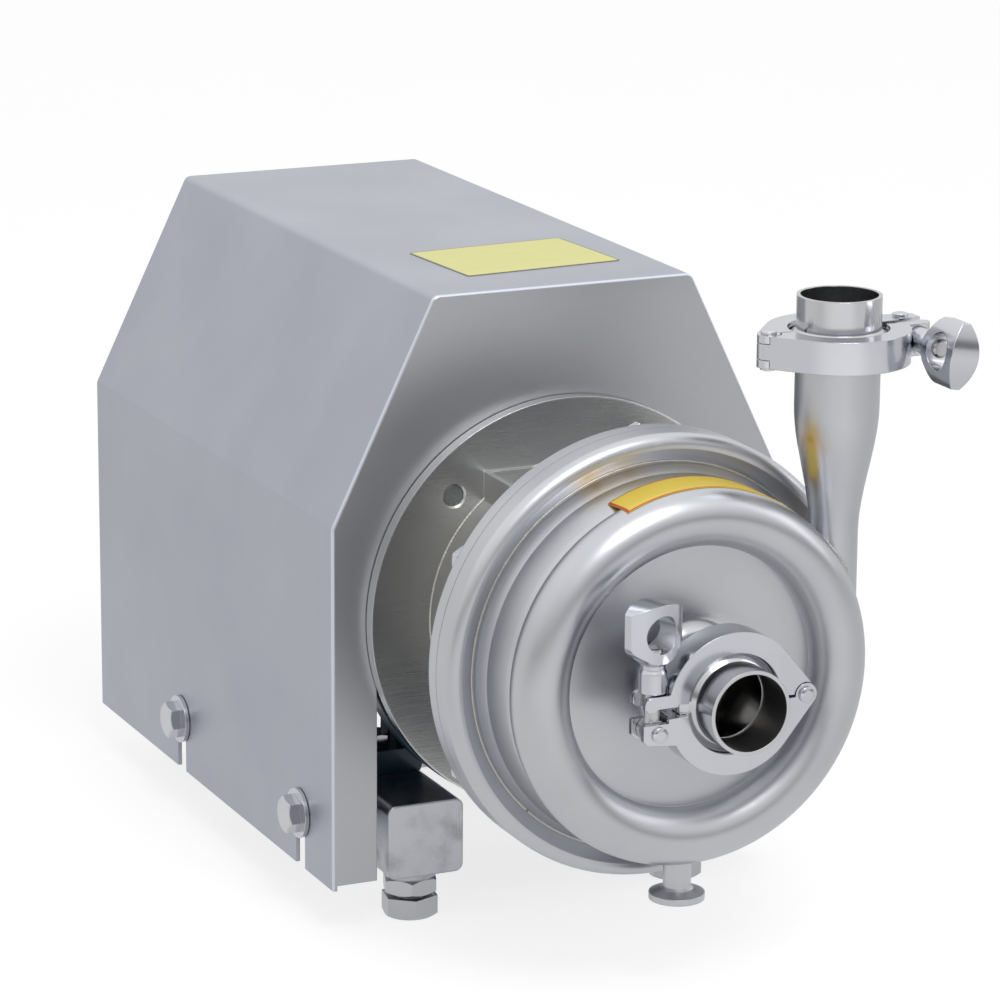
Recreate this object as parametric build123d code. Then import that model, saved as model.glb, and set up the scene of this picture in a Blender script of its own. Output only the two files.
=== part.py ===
from build123d import *
from math import asin, cos, pi, radians, sin, sqrt, tan
import os

os.makedirs("parts", exist_ok=True)

# Close-coupled sanitary centrifugal pump. Millimetres. The shaft lies along Y: the suction face is
# at y = 0 and the motor behind it at greater y. Z is up, and z = 0 is the shaft's centre line.

# Ports: 38.1 mm tube with 50.5 mm clamp ferrules, and a 12.7 mm drain
tube_radius = 19.05
tube_wall = 1.65
ferrule_radius = 25.25
ferrule_rim = 2.85
ferrule_length = 21.5
ferrule_taper = 20
gasket_thickness = 1.6
gasket_bore = 17.7
drain_radius = 6.35
drain_wall = 1.6
drain_flange_radius = 12.7
drain_flange_thickness = 2.9
drain_face_z = -106.3

# Casing: a pressed shell with a rolled volute, welded into a flange ring
casing_wall = 2.0
disc_y = 59.9
disc_rise = 1.5
neck_flare = 9.0
volute_y = 58.3
volute_ring_radius = 73.5
volute_tube_radius = 13.1
valley_radius = 84.2
valley_setback = 12.0
body_radius = 86.6
weld_radius = 90.0
weld_y = 93.5
flange_radius = 103.0
flange_front_y = 89.0
flange_back_y = 103.3
flange_bead = 5.0
outlet_x = 75.6
outlet_y = 67.5
outlet_throat_radius = 11.0
outlet_throat_z = 57.0
outlet_cone_top_z = 115.0
discharge_face_z = 165.0
shell_back_y = 85.0
casing_bolt_circle = 96.0
casing_bolt_count = 6
casing_bolt_radius = 4.0
casing_bolt_across_flats = 13.0
casing_bolt_head = 5.3
casing_bolt_grip = 9.0

# Back plate and its seal ring
plate_rim = 8.0
plate_plug_radius = 84.6
plate_front_y = 84.5
plate_wall = 5.0
plate_pocket_radius = 50.0
seal_hub_radius = 27.0
seal_hub_length = 10.0
shaft_hole_radius = 12.0
oring_radius = 88.6
oring_width = 3.4
oring_depth = 2.4

# Impeller and its nut
impeller_radius = 71.0
impeller_front_gap = 0.9
vane_depth = 16.0
vane_thickness = 3.0
vane_count = 5
vane_sweep = 80
vane_inner_radius = 18.0
shroud_thickness = 3.0
hub_radius = 14.0
nut_across_flats = 19.0
nut_length = 11.0

# Lantern: adapter disc, drum and boxed hatch
adapter_radius = 99.5
adapter_thickness = 6.6
adapter_groove_radius = 93.2
panel_groove = 3.2
spigot_radius = 65.0
spigot_depth = 3.5
drum_radius = 70.0
drum_wall = 3.0
drum_flange_radius = 51.0
drum_flange_thickness = 8.0
drum_bolt_circle = 58.8
drum_bolt_count = 4
drum_bolt_grip = 12.0
hatch_half_width = 43.5
hatch_top_z = 68.5
hatch_wall = 2.5
hatch_lid_thickness = 3.0
drip_hole_radius = 9.0
flange_bolt_circle = 82.5
flange_bolt_radius = 5.0
flange_bolt_across_flats = 16.0
flange_bolt_head = 6.4
tapped_chamfer = 1.0

# Motor: 90 mm shaft height, foot and flange mounted
panel_front_y = 191.3
motor_flange_radius = 100.0
motor_flange_thickness = 12.0
shield_neck_radius = 71.5
motor_shaft_radius = 12.0
motor_shaft_length = 50.0
shaft_height = 90.0
foot_half_spacing = 70.0
foot_spacing = 125.0
foot_setback = 22.0
foot_tail = 17.0
foot_thickness = 12.0
foot_half_width = 17.0
foot_half_length = 15.0
foot_web_inset = 9.0
foot_hole_radius = 4.5
foot_bolt_across_flats = 13.0
foot_bolt_head = 5.3
foot_nut_height = 6.5
housing_radius = 76.0
housing_wall = 8.0
bell_length = 34.0
rear_shield_length = 18.0
fin_count = 28
fin_height = 9.0
fin_thickness = 2.4
stator_depth = 22.6
air_gap = 0.4
winding_length = 18.0
winding_end_gap = 9.0
bearing_radius = 26.0
bearing_bore = 12.5
bearing_width = 15.0
bearing_race_share = 0.28
core_shaft_radius = 15.0
fan_blades = 7
fan_width = 22.0
fan_hub_radius = 16.0
fan_seat_radius = 9.0
fan_tip_gap = 10.4
cowl_clearance = 6.0
cowl_wall = 1.6
cowl_length = 74.0
cowl_corner = 8.0
terminal_box_half_width = 46.0
terminal_box_length = 92.0
terminal_box_height = 33.0
terminal_box_setback = 20.0
terminal_box_wall = 3.0
terminal_lid_thickness = 7.0
gland_radius = 9.0

# Pump shaft and mechanical seal
sleeve_radius = 19.0
sleeve_front_y = 140.0
sleeve_back_y = 186.0
pump_shaft_radius = 10.0
impeller_seat_radius = 8.0
set_screw_radius = 4.0
seat_radius = 18.0
seat_thickness = 7.5
seat_depth = 6.0
seal_ring_radius = 16.5
seal_ring_thickness = 8.0
seal_face_gap = 0.05
spring_radius = 14.0
spring_wire = 1.3
spring_turns = 3.5
spring_length = 18.0
collar_radius = 18.5
collar_length = 8.0

# Cover: folded sheet, six-sided, open below and behind
cover_half_width = 116.1
cover_top_half_width = 65.4
cover_top_z = 151.2
cover_shoulder_z = 46.4
cover_bottom_z = -128.2
cover_length = 320.0
sheet = 2.0
fold_radius = 4.0
panel_edge_radius = 1.2
panel_bottom_lift = 2.5
panel_gap = 0.6
arch_half_width = 94.0
cover_return = 14.0
cover_bolt_z = -101.8
front_cover_bolt_setback = 40.6
rear_cover_bolt_setback = 199.9
cover_bolt_radius = 5.0
cover_slot_half_width = 5.6
cover_clearance = 0.3
washer_radius = 12.0
washer_thickness = 2.0
cover_bolt_across_flats = 16.0
cover_bolt_head = 6.4

# Base: two rails on screwed feet
rail_width = 38.0
rail_height = 36.0
rail_wall = 2.5
rail_corner = 4.0
rail_front = -2.0
rail_back = 300.0
lug_radius = 10.5
boss_radius = 12.5
boss_height = 5.0
foot_inset = 19.0
foot_across_flats = 24.0
foot_head = 10.0
foot_shank_radius = 8.0
lock_nut_height = 8.0
foot_gap = 1.6
foot_travel = 10.0
front_crossbar_setback = 122.0
rear_crossbar_setback = 268.0
crossbar_drop = 12.0
crossbar_width = 40.0
crossbar_height = 8.0

# Clamps, one on each port
clamp_radius = 32.3
clamp_width = 14.8
clamp_bore = 22.8
clamp_clearance = 0.35
hinge_x = -35.0
hinge_lug_radius = 5.2
tongue_width = 7.0
lug_clearance = 0.6
pin_radius = 2.5
pin_head_radius = 3.6
pin_head = 1.2
pin_clearance = 0.05
ear_tip_x = 43.5
ear_slot_half_width = 4.5
pivot_x = 36.5
pivot_y = -9.6
upper_ear_bottom = 2.0
upper_ear_top = 7.5
upper_ear_round = 3.5
lower_ear_top = -5.0
lower_ear_bottom = -14.0
parting_half_gap = 3.4
hinge_half_gap = 0.4
bolt_radius = 4.0
bolt_eye_radius = 5.6
bolt_eye_half_width = 4.2
nut_gap = 0.6
wing_nut_length = 40.0
wing_nut_base_radius = 6.2
wing_nut_base_length = 9.0
wing_neck_radius = 5.4
wing_flare_start = 12.5
wing_flare_length = 10.0
wing_half_width = 14.8
wing_thickness = 14.0
wing_tip_thickness = 4.0
wing_window_radius = 8.5
wing_window_from_end = 13.3
wing_crown = 3.4
thread_clearance = 0.04
right_through = 1000.0
suction_nut_turn = 15
discharge_nut_turn = 80

# Sizes and stations that follow from the sizes above
housing_bore = housing_radius - housing_wall
housing_length = foot_setback + foot_spacing + foot_tail
stator_bore = housing_bore - stator_depth
rotor_radius = stator_bore - air_gap
core_length = housing_length - 2 * (winding_length + winding_end_gap)
cowl_radius = housing_radius + cowl_clearance
fan_radius = cowl_radius - cowl_wall - fan_tip_gap
terminal_box_low_z = housing_radius + fin_height
terminal_box_top_z = terminal_box_low_z + terminal_box_height
joint_front_y = ferrule_length
joint_back_y = joint_front_y + gasket_thickness
suction_clamp_y = joint_front_y + gasket_thickness / 2
plate_back_y = flange_back_y + plate_rim
adapter_back_y = panel_front_y - panel_gap
adapter_front_y = adapter_back_y - adapter_thickness
motor_face_y = adapter_back_y + panel_groove
housing_front_y = motor_face_y + bell_length
housing_back_y = housing_front_y + housing_length
core_front_y = (housing_front_y + housing_back_y - core_length) / 2
impeller_front_y = disc_y + casing_wall + impeller_front_gap
shroud_front_y = impeller_front_y + vane_depth
shroud_back_y = shroud_front_y + shroud_thickness
discharge_joint_z = discharge_face_z - ferrule_length
discharge_clamp_z = discharge_joint_z - gasket_thickness / 2
hub_back_y = plate_front_y + plate_wall + seal_hub_length
seat_front_y = hub_back_y - seat_depth
seal_ring_y = seat_front_y + seat_thickness + seal_face_gap
spring_y = seal_ring_y + seal_ring_thickness
collar_y = spring_y + spring_length
rail_top_z = -shaft_height
rail_bottom_z = rail_top_z - rail_height
rail_front_y = panel_front_y + rail_front
rail_back_y = panel_front_y + rail_back
foot_stations = (rail_front_y + foot_inset, rail_back_y - foot_inset)
lock_nut_z = rail_bottom_z - boss_height - lock_nut_height
foot_head_z = lock_nut_z - foot_gap
floor_z = foot_head_z - foot_head
motor_foot_stations = (housing_front_y + foot_setback, housing_front_y + foot_setback + foot_spacing)
terminal_box_front_y = housing_front_y + terminal_box_setback
cover_bolt_stations = (panel_front_y + front_cover_bolt_setback, panel_front_y + rear_cover_bolt_setback)
crossbar_stations = (panel_front_y + front_crossbar_setback, panel_front_y + rear_crossbar_setback)
nut_base_y = upper_ear_top + nut_gap
front_bearing_y = motor_face_y + motor_flange_thickness
rear_bearing_y = housing_back_y + 2.0

# Placements: local z runs along the shaft for turned parts, and the clamps lie across their ports
along_shaft = Location(Plane(origin=(0, 0, 0), x_dir=(1, 0, 0), z_dir=(0, 1, 0)))
suction_clamp = Location(Plane(origin=(0, suction_clamp_y, 0), x_dir=(-1, 0, 0), z_dir=(0, 1, 0)))
discharge_clamp = Location(
    Plane(origin=(outlet_x, outlet_y, discharge_clamp_z), x_dir=(1, 0, 0), z_dir=(0, 0, -1))
)


def outline(*corners):
    """A flat face through the corners given, closed back to the first."""
    return make_face(Polyline(*corners, close=True).edges())


def turned(*corners):
    """Turn an outline of (radius, height) corners about Z."""
    return revolve(Plane.XZ * outline(*corners), Axis.Z)


def ring(outer, inner, bottom, top):
    """A plain ring about Z."""
    return turned((inner, bottom), (outer, bottom), (outer, top), (inner, top))


def hexagon(across_flats, height):
    return extrude(RegularPolygon(across_flats / 2, 6, major_radius=False), height)


def chamfered_hexagon(across_flats, height, both_ends=False):
    """A hexagon whose corners are turned off at its top, or at both ends."""
    corner = across_flats / sqrt(3) + 0.01
    face = across_flats / 2 * 0.97
    drop = (corner - face) * tan(radians(30))
    foot = [(face, 0), (corner, drop)] if both_ends else [(corner, 0)]
    cone = turned((0, 0), *foot, (corner, height - drop), (face, height), (0, height))
    return hexagon(across_flats, height) & cone


def hex_bolt(shank_radius, length, across_flats, head):
    """A hexagon bolt: its head stands on z = 0 and its shank hangs below."""
    return chamfered_hexagon(across_flats, head) + Pos(0, 0, -length / 2) * Cylinder(shank_radius, length)


def cylinder_along(axis, radius, start, length):
    """A cylinder from a start point along X, Y or Z, backwards where the length is negative."""
    directions = {"x": (1, 0, 0), "y": (0, 1, 0), "z": (0, 0, 1)}
    sign = 1 if length > 0 else -1
    direction = tuple(sign * part for part in directions[axis])
    return extrude(Plane(origin=start, z_dir=direction) * Circle(radius), abs(length))


def slab(low, high):
    """A box between two opposite corners."""
    size = [b - a for a, b in zip(low, high)]
    return Pos(*low) * Box(*size, align=(Align.MIN, Align.MIN, Align.MIN))


def ferrule_corners(face, direction):
    """Outline corners of a clamp ferrule's flange, from its face towards its tube."""
    root = tube_radius + 2.6
    slope = (ferrule_radius - root) * tan(radians(ferrule_taper))
    return [
        (ferrule_radius, face),
        (ferrule_radius, face + direction * ferrule_rim),
        (root, face + direction * (ferrule_rim + slope)),
        (tube_radius, face + direction * (ferrule_rim + slope + 2.2)),
    ]


def loose_ferrule(joint, direction):
    """A weld ferrule about Z, from its clamped face at the joint to its open tube end."""
    end = joint + direction * ferrule_length
    bore = tube_radius - tube_wall
    corners = [(bore, joint)] + ferrule_corners(joint, direction) + [(tube_radius, end), (bore, end)]
    return turned(*corners)


def gasket(low):
    """A clamp gasket: a flat ring with a bead at the ferrules' bore."""
    return ring(ferrule_radius - 0.4, gasket_bore, low, low + gasket_thickness)


def shell_outline(grow):
    """Half section of the casing about Z, closed to the axis; grow is 0 outside, -wall inside."""
    inside = grow < 0
    face = disc_y - grow
    neck = tube_radius - tube_wall if inside else tube_radius
    flare = neck_flare + grow
    tube = volute_tube_radius + grow
    meet = sqrt(tube**2 - (face - volute_y) ** 2)
    rim = (volute_ring_radius - meet, face)
    hub = (neck + flare, face - disc_rise)
    flare_start = (neck, face - disc_rise - flare)
    flare_middle = (neck + flare * (1 - cos(pi / 4)), face - disc_rise - flare * (1 - sin(pi / 4)))
    crest = (volute_ring_radius, volute_y - tube)
    crease = (volute_ring_radius + tube * cos(radians(41)), volute_y + tube * sin(radians(41)))
    start = joint_back_y - 1 if inside else joint_back_y
    valley_y = volute_y + valley_setback
    front = [(0, start), (neck, start)] if inside else [(0, start)] + ferrule_corners(start, 1)
    lines = [Polyline(*front, flare_start)]
    lines.append(ThreePointArc(flare_start, flare_middle, hub))
    lines.append(Line(hub, rim))
    lines.append(ThreePointArc(rim, crest, crease))
    if inside:
        back = flange_back_y + 1
        bore = plate_plug_radius + 0.1
        lines.append(Polyline(crease, (valley_radius + grow, valley_y), (body_radius + grow, shell_back_y),
                              (bore, weld_y), (bore, back), (0, back), (0, start)))
        return lines
    bead_middle = (flange_radius - flange_bead * (1 - cos(pi / 4)),
                   flange_front_y + flange_bead * (1 - sin(pi / 4)))
    lines.append(Polyline(crease, (valley_radius, valley_y), (body_radius, shell_back_y),
                          (weld_radius - 0.6, weld_y - 2.5), (weld_radius, weld_y),
                          (flange_radius - flange_bead - 1.5, flange_front_y),
                          (flange_radius - flange_bead, flange_front_y)))
    lines.append(ThreePointArc((flange_radius - flange_bead, flange_front_y), bead_middle,
                               (flange_radius, flange_front_y + flange_bead)))
    lines.append(Polyline((flange_radius, flange_front_y + flange_bead), (flange_radius, flange_back_y),
                          (0, flange_back_y), (0, start)))
    return lines


def shell_solid(grow):
    edges = [edge for line in shell_outline(grow) for edge in line.edges()]
    return along_shaft * revolve(Plane.XZ * make_face(edges), Axis.Z)


def outlet_solid(wall):
    """The rising outlet: a throat, a long reducer and the tube under its ferrule."""
    throat = outlet_throat_radius - wall
    tube = tube_radius - wall
    face = discharge_joint_z - gasket_thickness
    low, high = outlet_throat_z, outlet_cone_top_z
    third = (high - low) / 3
    top = [(tube, face + 1), (0, face + 1)] if wall else ferrule_corners(face, -1)[::-1] + [(0, face)]
    reducer = Bezier((throat, low), (throat, low + third), (tube, high - third), (tube, high))
    round_end = ThreePointArc((0, -throat), (throat * sin(pi / 4), -throat * cos(pi / 4)), (throat, 0))
    edges = round_end.edges() + Line((throat, 0), (throat, low)).edges() + reducer.edges()
    edges += Polyline((tube, high), *top, (0, -throat)).edges()
    return Pos(outlet_x, outlet_y, 0) * revolve(Plane.XZ * make_face(edges), Axis.Z)


def drain_tube():
    """The drain stub with its small ferrule, from inside the casing down to its face."""
    back = drain_face_z + drain_flange_thickness
    root = drain_radius + 1.2
    slope = (drain_flange_radius - root) * tan(radians(ferrule_taper))
    top = -volute_ring_radius
    return Pos(0, outlet_y, 0) * turned(
        (0, drain_face_z), (drain_flange_radius, drain_face_z), (drain_flange_radius, back),
        (root, back + slope), (drain_radius, back + slope + 1.2), (drain_radius, top), (0, top),
    )


def bolt_ring(piece, radius, count, first=0.0):
    """Copies of a piece that stands on the shaft's circle, set round it."""
    return [
        Rot(0, first + turn * 360 / count, 0) * Pos(radius, 0, 0) * piece
        for turn in range(count)
    ]


def casing():
    shell = shell_solid(0) + outlet_solid(0) + drain_tube()
    hollow = shell_solid(-casing_wall) + outlet_solid(tube_wall)
    shell -= hollow
    drain_bore = drain_radius - drain_wall
    shell -= cylinder_along("z", drain_bore, (0, outlet_y, drain_face_z - 1), 30)
    holes = cylinder_along("y", casing_bolt_radius, (0, flange_back_y + 1, 0), -11)
    shell -= bolt_ring(holes, casing_bolt_circle, casing_bolt_count, 30)
    return shell


def back_plate():
    """The casing's rear wall: a rim, a plug that centres in the casing and the seal's hub."""
    wall_back = plate_front_y + plate_wall
    plate = along_shaft * turned(
        (shaft_hole_radius, plate_front_y), (plate_plug_radius - 2, plate_front_y),
        (plate_plug_radius, plate_front_y + 2), (plate_plug_radius, flange_back_y),
        (flange_radius, flange_back_y),
        (flange_radius, plate_back_y), (plate_pocket_radius, plate_back_y),
        (plate_pocket_radius, wall_back), (seal_hub_radius, wall_back), (seal_hub_radius, hub_back_y),
        (seat_radius, hub_back_y), (seat_radius, seat_front_y), (shaft_hole_radius, seat_front_y),
    )
    groove = along_shaft * ring(oring_radius + oring_width / 2, oring_radius - oring_width / 2,
                                flange_back_y - 1, flange_back_y + oring_depth)
    hole = cylinder_along("y", casing_bolt_radius, (0, flange_back_y - 1, 0), plate_rim + 2)
    screw = cylinder_along("y", casing_bolt_radius, (0, plate_back_y + 1, 0), -15)
    plate -= groove
    plate -= bolt_ring(hole, casing_bolt_circle, casing_bolt_count, 30)
    plate -= bolt_ring(screw, drum_bolt_circle, drum_bolt_count, 45)
    return plate


def casing_seal_ring():
    return along_shaft * ring(oring_radius + oring_width / 2, oring_radius - oring_width / 2,
                              flange_back_y, flange_back_y + oring_depth)


def fastener_ring(bolt, seat_y, circle, count, first):
    """Bolts set round the shaft, their heads on a face behind the piece that they enter."""
    return bolt_ring(Pos(0, seat_y, 0) * Rot(-90, 0, 0) * bolt, circle, count, first)


def vane():
    """One backward-swept vane, drawn flat as a curved strip and raised from the shroud."""
    def at(radius, share, side):
        angle = radians(vane_sweep * share) + side * vane_thickness / 2 / radius
        return (radius * cos(angle), radius * sin(angle))
    middle_radius = (vane_inner_radius + impeller_radius) / 2
    leading = ThreePointArc(at(vane_inner_radius, 0, 1), at(middle_radius, 0.42, 1),
                            at(impeller_radius, 1, 1))
    trailing = ThreePointArc(at(vane_inner_radius, 0, -1), at(middle_radius, 0.42, -1),
                             at(impeller_radius, 1, -1))
    root = Line(at(vane_inner_radius, 0, 1), at(vane_inner_radius, 0, -1))
    tip = Line(at(impeller_radius, 1, 1), at(impeller_radius, 1, -1))
    strip = make_face(leading.edges() + trailing.edges() + root.edges() + tip.edges())
    return extrude(Pos(0, 0, impeller_front_y) * strip, vane_depth + 0.5)


def impeller():
    """An open impeller: vanes and hub on a back shroud."""
    hub_front = shroud_front_y - vane_depth * 0.55
    body = turned(
        (impeller_seat_radius, hub_front), (hub_radius - 3, hub_front), (hub_radius, hub_front + 3),
        (hub_radius + 2, shroud_front_y), (impeller_radius, shroud_front_y),
        (impeller_radius, shroud_back_y), (impeller_seat_radius, shroud_back_y),
    )
    vanes = [Rot(0, 0, turn * 360 / vane_count) * vane() for turn in range(vane_count)]
    return along_shaft * (body + vanes)


def impeller_nut():
    """The domed hexagon nut that holds the impeller on its shaft."""
    seat = shroud_front_y - vane_depth * 0.55
    flats = hexagon(nut_across_flats, nut_length)
    reach = nut_length + 6
    corner = nut_across_flats / sqrt(3)
    form = turned((0, 0), (corner, 0), (corner, nut_length * 0.6), (nut_across_flats * 0.32, reach),
                  (0, reach))
    dome = turned((0, nut_length), (nut_across_flats / 2, nut_length), (5, reach), (0, reach))
    body = (flats + dome) & form
    body -= Pos(0, 0, nut_length / 2 - 1) * Cylinder(impeller_seat_radius - 2, nut_length)
    return Pos(0, seat, 0) * Rot(90, 0, 0) * body


def stub_shaft():
    """The pump shaft: a sleeve over the motor's shaft end, stepped down to the impeller seat."""
    seat = shroud_front_y - vane_depth * 0.55
    thread = impeller_seat_radius - 2
    motor_end = motor_face_y - motor_shaft_length
    body = turned(
        (0, seat - nut_length + 3), (thread, seat - nut_length + 3), (thread, seat),
        (impeller_seat_radius, seat), (impeller_seat_radius, shroud_back_y),
        (pump_shaft_radius, shroud_back_y), (pump_shaft_radius, sleeve_front_y),
        (sleeve_radius, sleeve_front_y), (sleeve_radius, sleeve_back_y),
        (motor_shaft_radius, sleeve_back_y), (motor_shaft_radius, motor_end), (0, motor_end),
    )
    body = along_shaft * body
    for screw in set_screw_places():
        body -= screw
    return body


def set_screw_places():
    """Two radial screws that lock the sleeve to the motor's shaft."""
    stations = (sleeve_front_y + 14, sleeve_back_y - 12)
    reach = sleeve_radius - motor_shaft_radius
    return [cylinder_along("z", set_screw_radius, (0, y, motor_shaft_radius), reach) for y in stations]


def set_screws():
    socket = RegularPolygon(set_screw_radius / 2, 6)
    screws = []
    for screw in set_screw_places():
        mouth = Pos(0, screw.center().Y, sleeve_radius - 3) * extrude(socket, 4)
        trimmed = screw & (along_shaft * Cylinder(sleeve_radius - 0.4, right_through))
        shaft = along_shaft * Cylinder(motor_shaft_radius, right_through)
        screws.append(trimmed - shaft - mouth)
    return screws


def seal_seat():
    return along_shaft * ring(seat_radius, pump_shaft_radius + 0.8, seat_front_y,
                              seat_front_y + seat_thickness)


def seal_ring():
    return along_shaft * turned(
        (pump_shaft_radius, seal_ring_y + 1), (pump_shaft_radius + 1.2, seal_ring_y),
        (seal_ring_radius - 2, seal_ring_y), (seal_ring_radius - 2, seal_ring_y + 2),
        (seal_ring_radius, seal_ring_y + 2), (seal_ring_radius, seal_ring_y + seal_ring_thickness),
        (pump_shaft_radius, seal_ring_y + seal_ring_thickness),
    )


def seal_spring():
    rise = spring_length - 2 * spring_wire
    pitch = rise / spring_turns
    path = Helix(pitch, rise, spring_radius)
    wire = Plane(origin=path @ 0, z_dir=path % 0) * RectangleRounded(2 * spring_wire, 2 * spring_wire, 0.5)
    return along_shaft * Pos(0, 0, spring_y + spring_wire) * sweep(wire, path)


def seal_collar():
    collar = ring(collar_radius, pump_shaft_radius, collar_y, collar_y + collar_length)
    hole = cylinder_along("z", 2.5, (0, collar_y + collar_length / 2, pump_shaft_radius), collar_radius)
    return along_shaft * collar - hole


def lantern():
    """Adapter disc, drum and hatch frame welded into one carrier between motor and pump."""
    drum_bore = drum_radius - drum_wall
    flange_back = plate_back_y + drum_flange_thickness
    lip = spigot_radius - 4
    recess = adapter_back_y + panel_groove - spigot_depth
    body = along_shaft * turned(
        (drum_flange_radius, plate_back_y), (drum_radius, plate_back_y), (drum_radius, adapter_front_y),
        (adapter_radius, adapter_front_y), (adapter_radius, adapter_back_y),
        (adapter_groove_radius, adapter_back_y), (adapter_groove_radius, motor_face_y),
        (spigot_radius + 0.05, motor_face_y), (spigot_radius + 0.05, recess), (lip, recess),
        (lip, adapter_front_y), (drum_bore, adapter_front_y), (drum_bore, flange_back),
        (drum_flange_radius, flange_back),
    )
    inner = hatch_half_width - hatch_wall
    low = sqrt(drum_radius**2 - hatch_half_width**2) - 6
    frame = slab((-hatch_half_width, plate_back_y, low), (hatch_half_width, adapter_front_y, hatch_top_z))
    frame -= along_shaft * Cylinder(drum_bore, right_through)
    ledge = 1.5
    well_front = plate_back_y + drum_flange_thickness
    well_back = adapter_front_y - hatch_wall
    window = slab((-inner + ledge, well_front + ledge, 0), (inner - ledge, well_back - ledge, 100))
    seat = slab((-inner, well_front, hatch_top_z - hatch_lid_thickness), (inner, well_back, 100))
    crown = slab((-60, plate_back_y, hatch_top_z), (60, adapter_front_y, 100))
    body = body - crown + frame - window - seat
    body -= cylinder_along("z", drip_hole_radius, (0, (plate_back_y + adapter_front_y) / 2, -50), -40)
    through_flange = drum_flange_thickness + 2
    screw = cylinder_along("y", casing_bolt_radius + 0.2, (0, plate_back_y - 1, 0), through_flange)
    tapped = cylinder_along("y", flange_bolt_radius, (0, adapter_front_y - 1, 0), 20)
    mouth = flange_bolt_radius + tapped_chamfer
    tapped += along_shaft * turned((0, adapter_front_y - 1), (mouth, adapter_front_y - 1),
                                   (mouth, adapter_front_y),
                                   (flange_bolt_radius, adapter_front_y + tapped_chamfer),
                                   (0, adapter_front_y + tapped_chamfer))
    body -= bolt_ring(screw, drum_bolt_circle, drum_bolt_count, 45)
    body -= bolt_ring(tapped, flange_bolt_circle, 4, 45)
    return body


def lantern_lid():
    """The flat lid that lies flush in the hatch frame."""
    inner = hatch_half_width - hatch_wall - 0.3
    front = plate_back_y + drum_flange_thickness + 0.3
    back = adapter_front_y - hatch_wall - 0.3
    return slab((-inner, front, hatch_top_z - hatch_lid_thickness), (inner, back, hatch_top_z))


def motor_flange_shield():
    """Front end shield with the mounting flange and the front bearing's seat."""
    flange_back = motor_face_y + motor_flange_thickness
    face = motor_face_y - spigot_depth + 0.3
    rest = housing_front_y
    shield = along_shaft * turned(
        (motor_shaft_radius + 0.8, face + 2), (spigot_radius - 12, face + 2), (spigot_radius - 8, face),
        (spigot_radius, face), (spigot_radius, motor_face_y), (motor_flange_radius, motor_face_y),
        (motor_flange_radius, flange_back), (shield_neck_radius, flange_back),
        (shield_neck_radius, flange_back + 9), (housing_radius + 2, rest - 5),
        (housing_radius + 2, rest), (housing_bore, rest), (housing_bore - 4, rest - 6),
        (shield_neck_radius - 6, flange_back + 10), (shield_neck_radius - 6, flange_back + 6),
        (bearing_radius + 8, flange_back + 6), (bearing_radius + 8, flange_back + bearing_width),
        (bearing_radius, flange_back + bearing_width), (bearing_radius, flange_back),
        (motor_shaft_radius + 0.8, flange_back),
    )
    through_flange = motor_flange_thickness + 12
    hole = cylinder_along("y", flange_bolt_radius + 0.4, (0, motor_face_y - 1, 0), through_flange)
    return shield - bolt_ring(hole, flange_bolt_circle, 4, 45)


def foot_pads():
    """Cast feet under the housing, with their webs."""
    outer = foot_half_spacing + foot_half_width
    inner = foot_half_spacing - foot_half_width
    base = -shaft_height
    web = foot_half_spacing - foot_web_inset
    top = base + foot_thickness
    def on_housing(angle):
        reach = housing_radius - housing_wall / 2
        return (reach * cos(radians(angle)), -reach * sin(radians(angle)))
    section = Plane.XZ * outline((inner, base), (outer, base), (outer, top), (web, top), on_housing(33),
                                 on_housing(47), (inner - 4, top))
    hole = Pos(foot_half_spacing, 0, base) * Cylinder(foot_hole_radius, 3 * foot_thickness)
    pads = []
    for station in motor_foot_stations:
        pad = Pos(0, station + foot_half_length, 0) * extrude(section, 2 * foot_half_length)
        pad -= Pos(0, station, 0) * hole
        pads += [pad, mirror(pad, Plane.YZ)]
    return pads


def motor_housing():
    """Finned stator housing with cast feet and the terminal box's seat."""
    length = housing_length
    tube = along_shaft * ring(housing_radius, housing_bore, housing_front_y, housing_back_y)
    pads = foot_pads()
    fins = []
    tip = housing_radius + fin_height
    for index in range(fin_count):
        angle = (index + 0.5) * 360 / fin_count
        at_bottom = abs(angle - 270) < 52
        at_top = abs(angle - 90) < 34
        if not at_bottom and not at_top:
            fin = slab((housing_radius - 1, housing_front_y + 3, -fin_thickness / 2),
                       (tip, housing_front_y + length - 3, fin_thickness / 2))
            fins.append(Rot(0, -angle, 0) * fin)
    seat = slab((-terminal_box_half_width + 4, terminal_box_front_y + 4, housing_radius - 26),
                (terminal_box_half_width - 4, terminal_box_front_y + terminal_box_length - 4,
                 terminal_box_low_z))
    seat -= along_shaft * Cylinder(housing_radius - 1, right_through)
    return tube + pads + fins + seat


def terminal_box():
    """The wiring box on the housing: an open-topped tray."""
    front = terminal_box_front_y
    low = terminal_box_low_z
    box = slab((-terminal_box_half_width, front, low),
               (terminal_box_half_width, front + terminal_box_length, terminal_box_top_z))
    wall = terminal_box_wall
    box -= slab((-terminal_box_half_width + wall, front + wall, low + wall),
                (terminal_box_half_width - wall, front + terminal_box_length - wall,
                 terminal_box_top_z + 1))
    return box - cylinder_along("x", gland_radius, (0, front + terminal_box_length / 2, gland_z()), 100)


def gland_z():
    return (terminal_box_low_z + terminal_box_top_z) / 2


def terminal_box_lid():
    front = terminal_box_front_y
    lid = slab((-terminal_box_half_width, front, terminal_box_top_z),
               (terminal_box_half_width, front + terminal_box_length,
                terminal_box_top_z + terminal_lid_thickness))
    return chamfer(lid.edges().group_by(Axis.Z)[-1], terminal_lid_thickness * 0.4)


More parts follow.
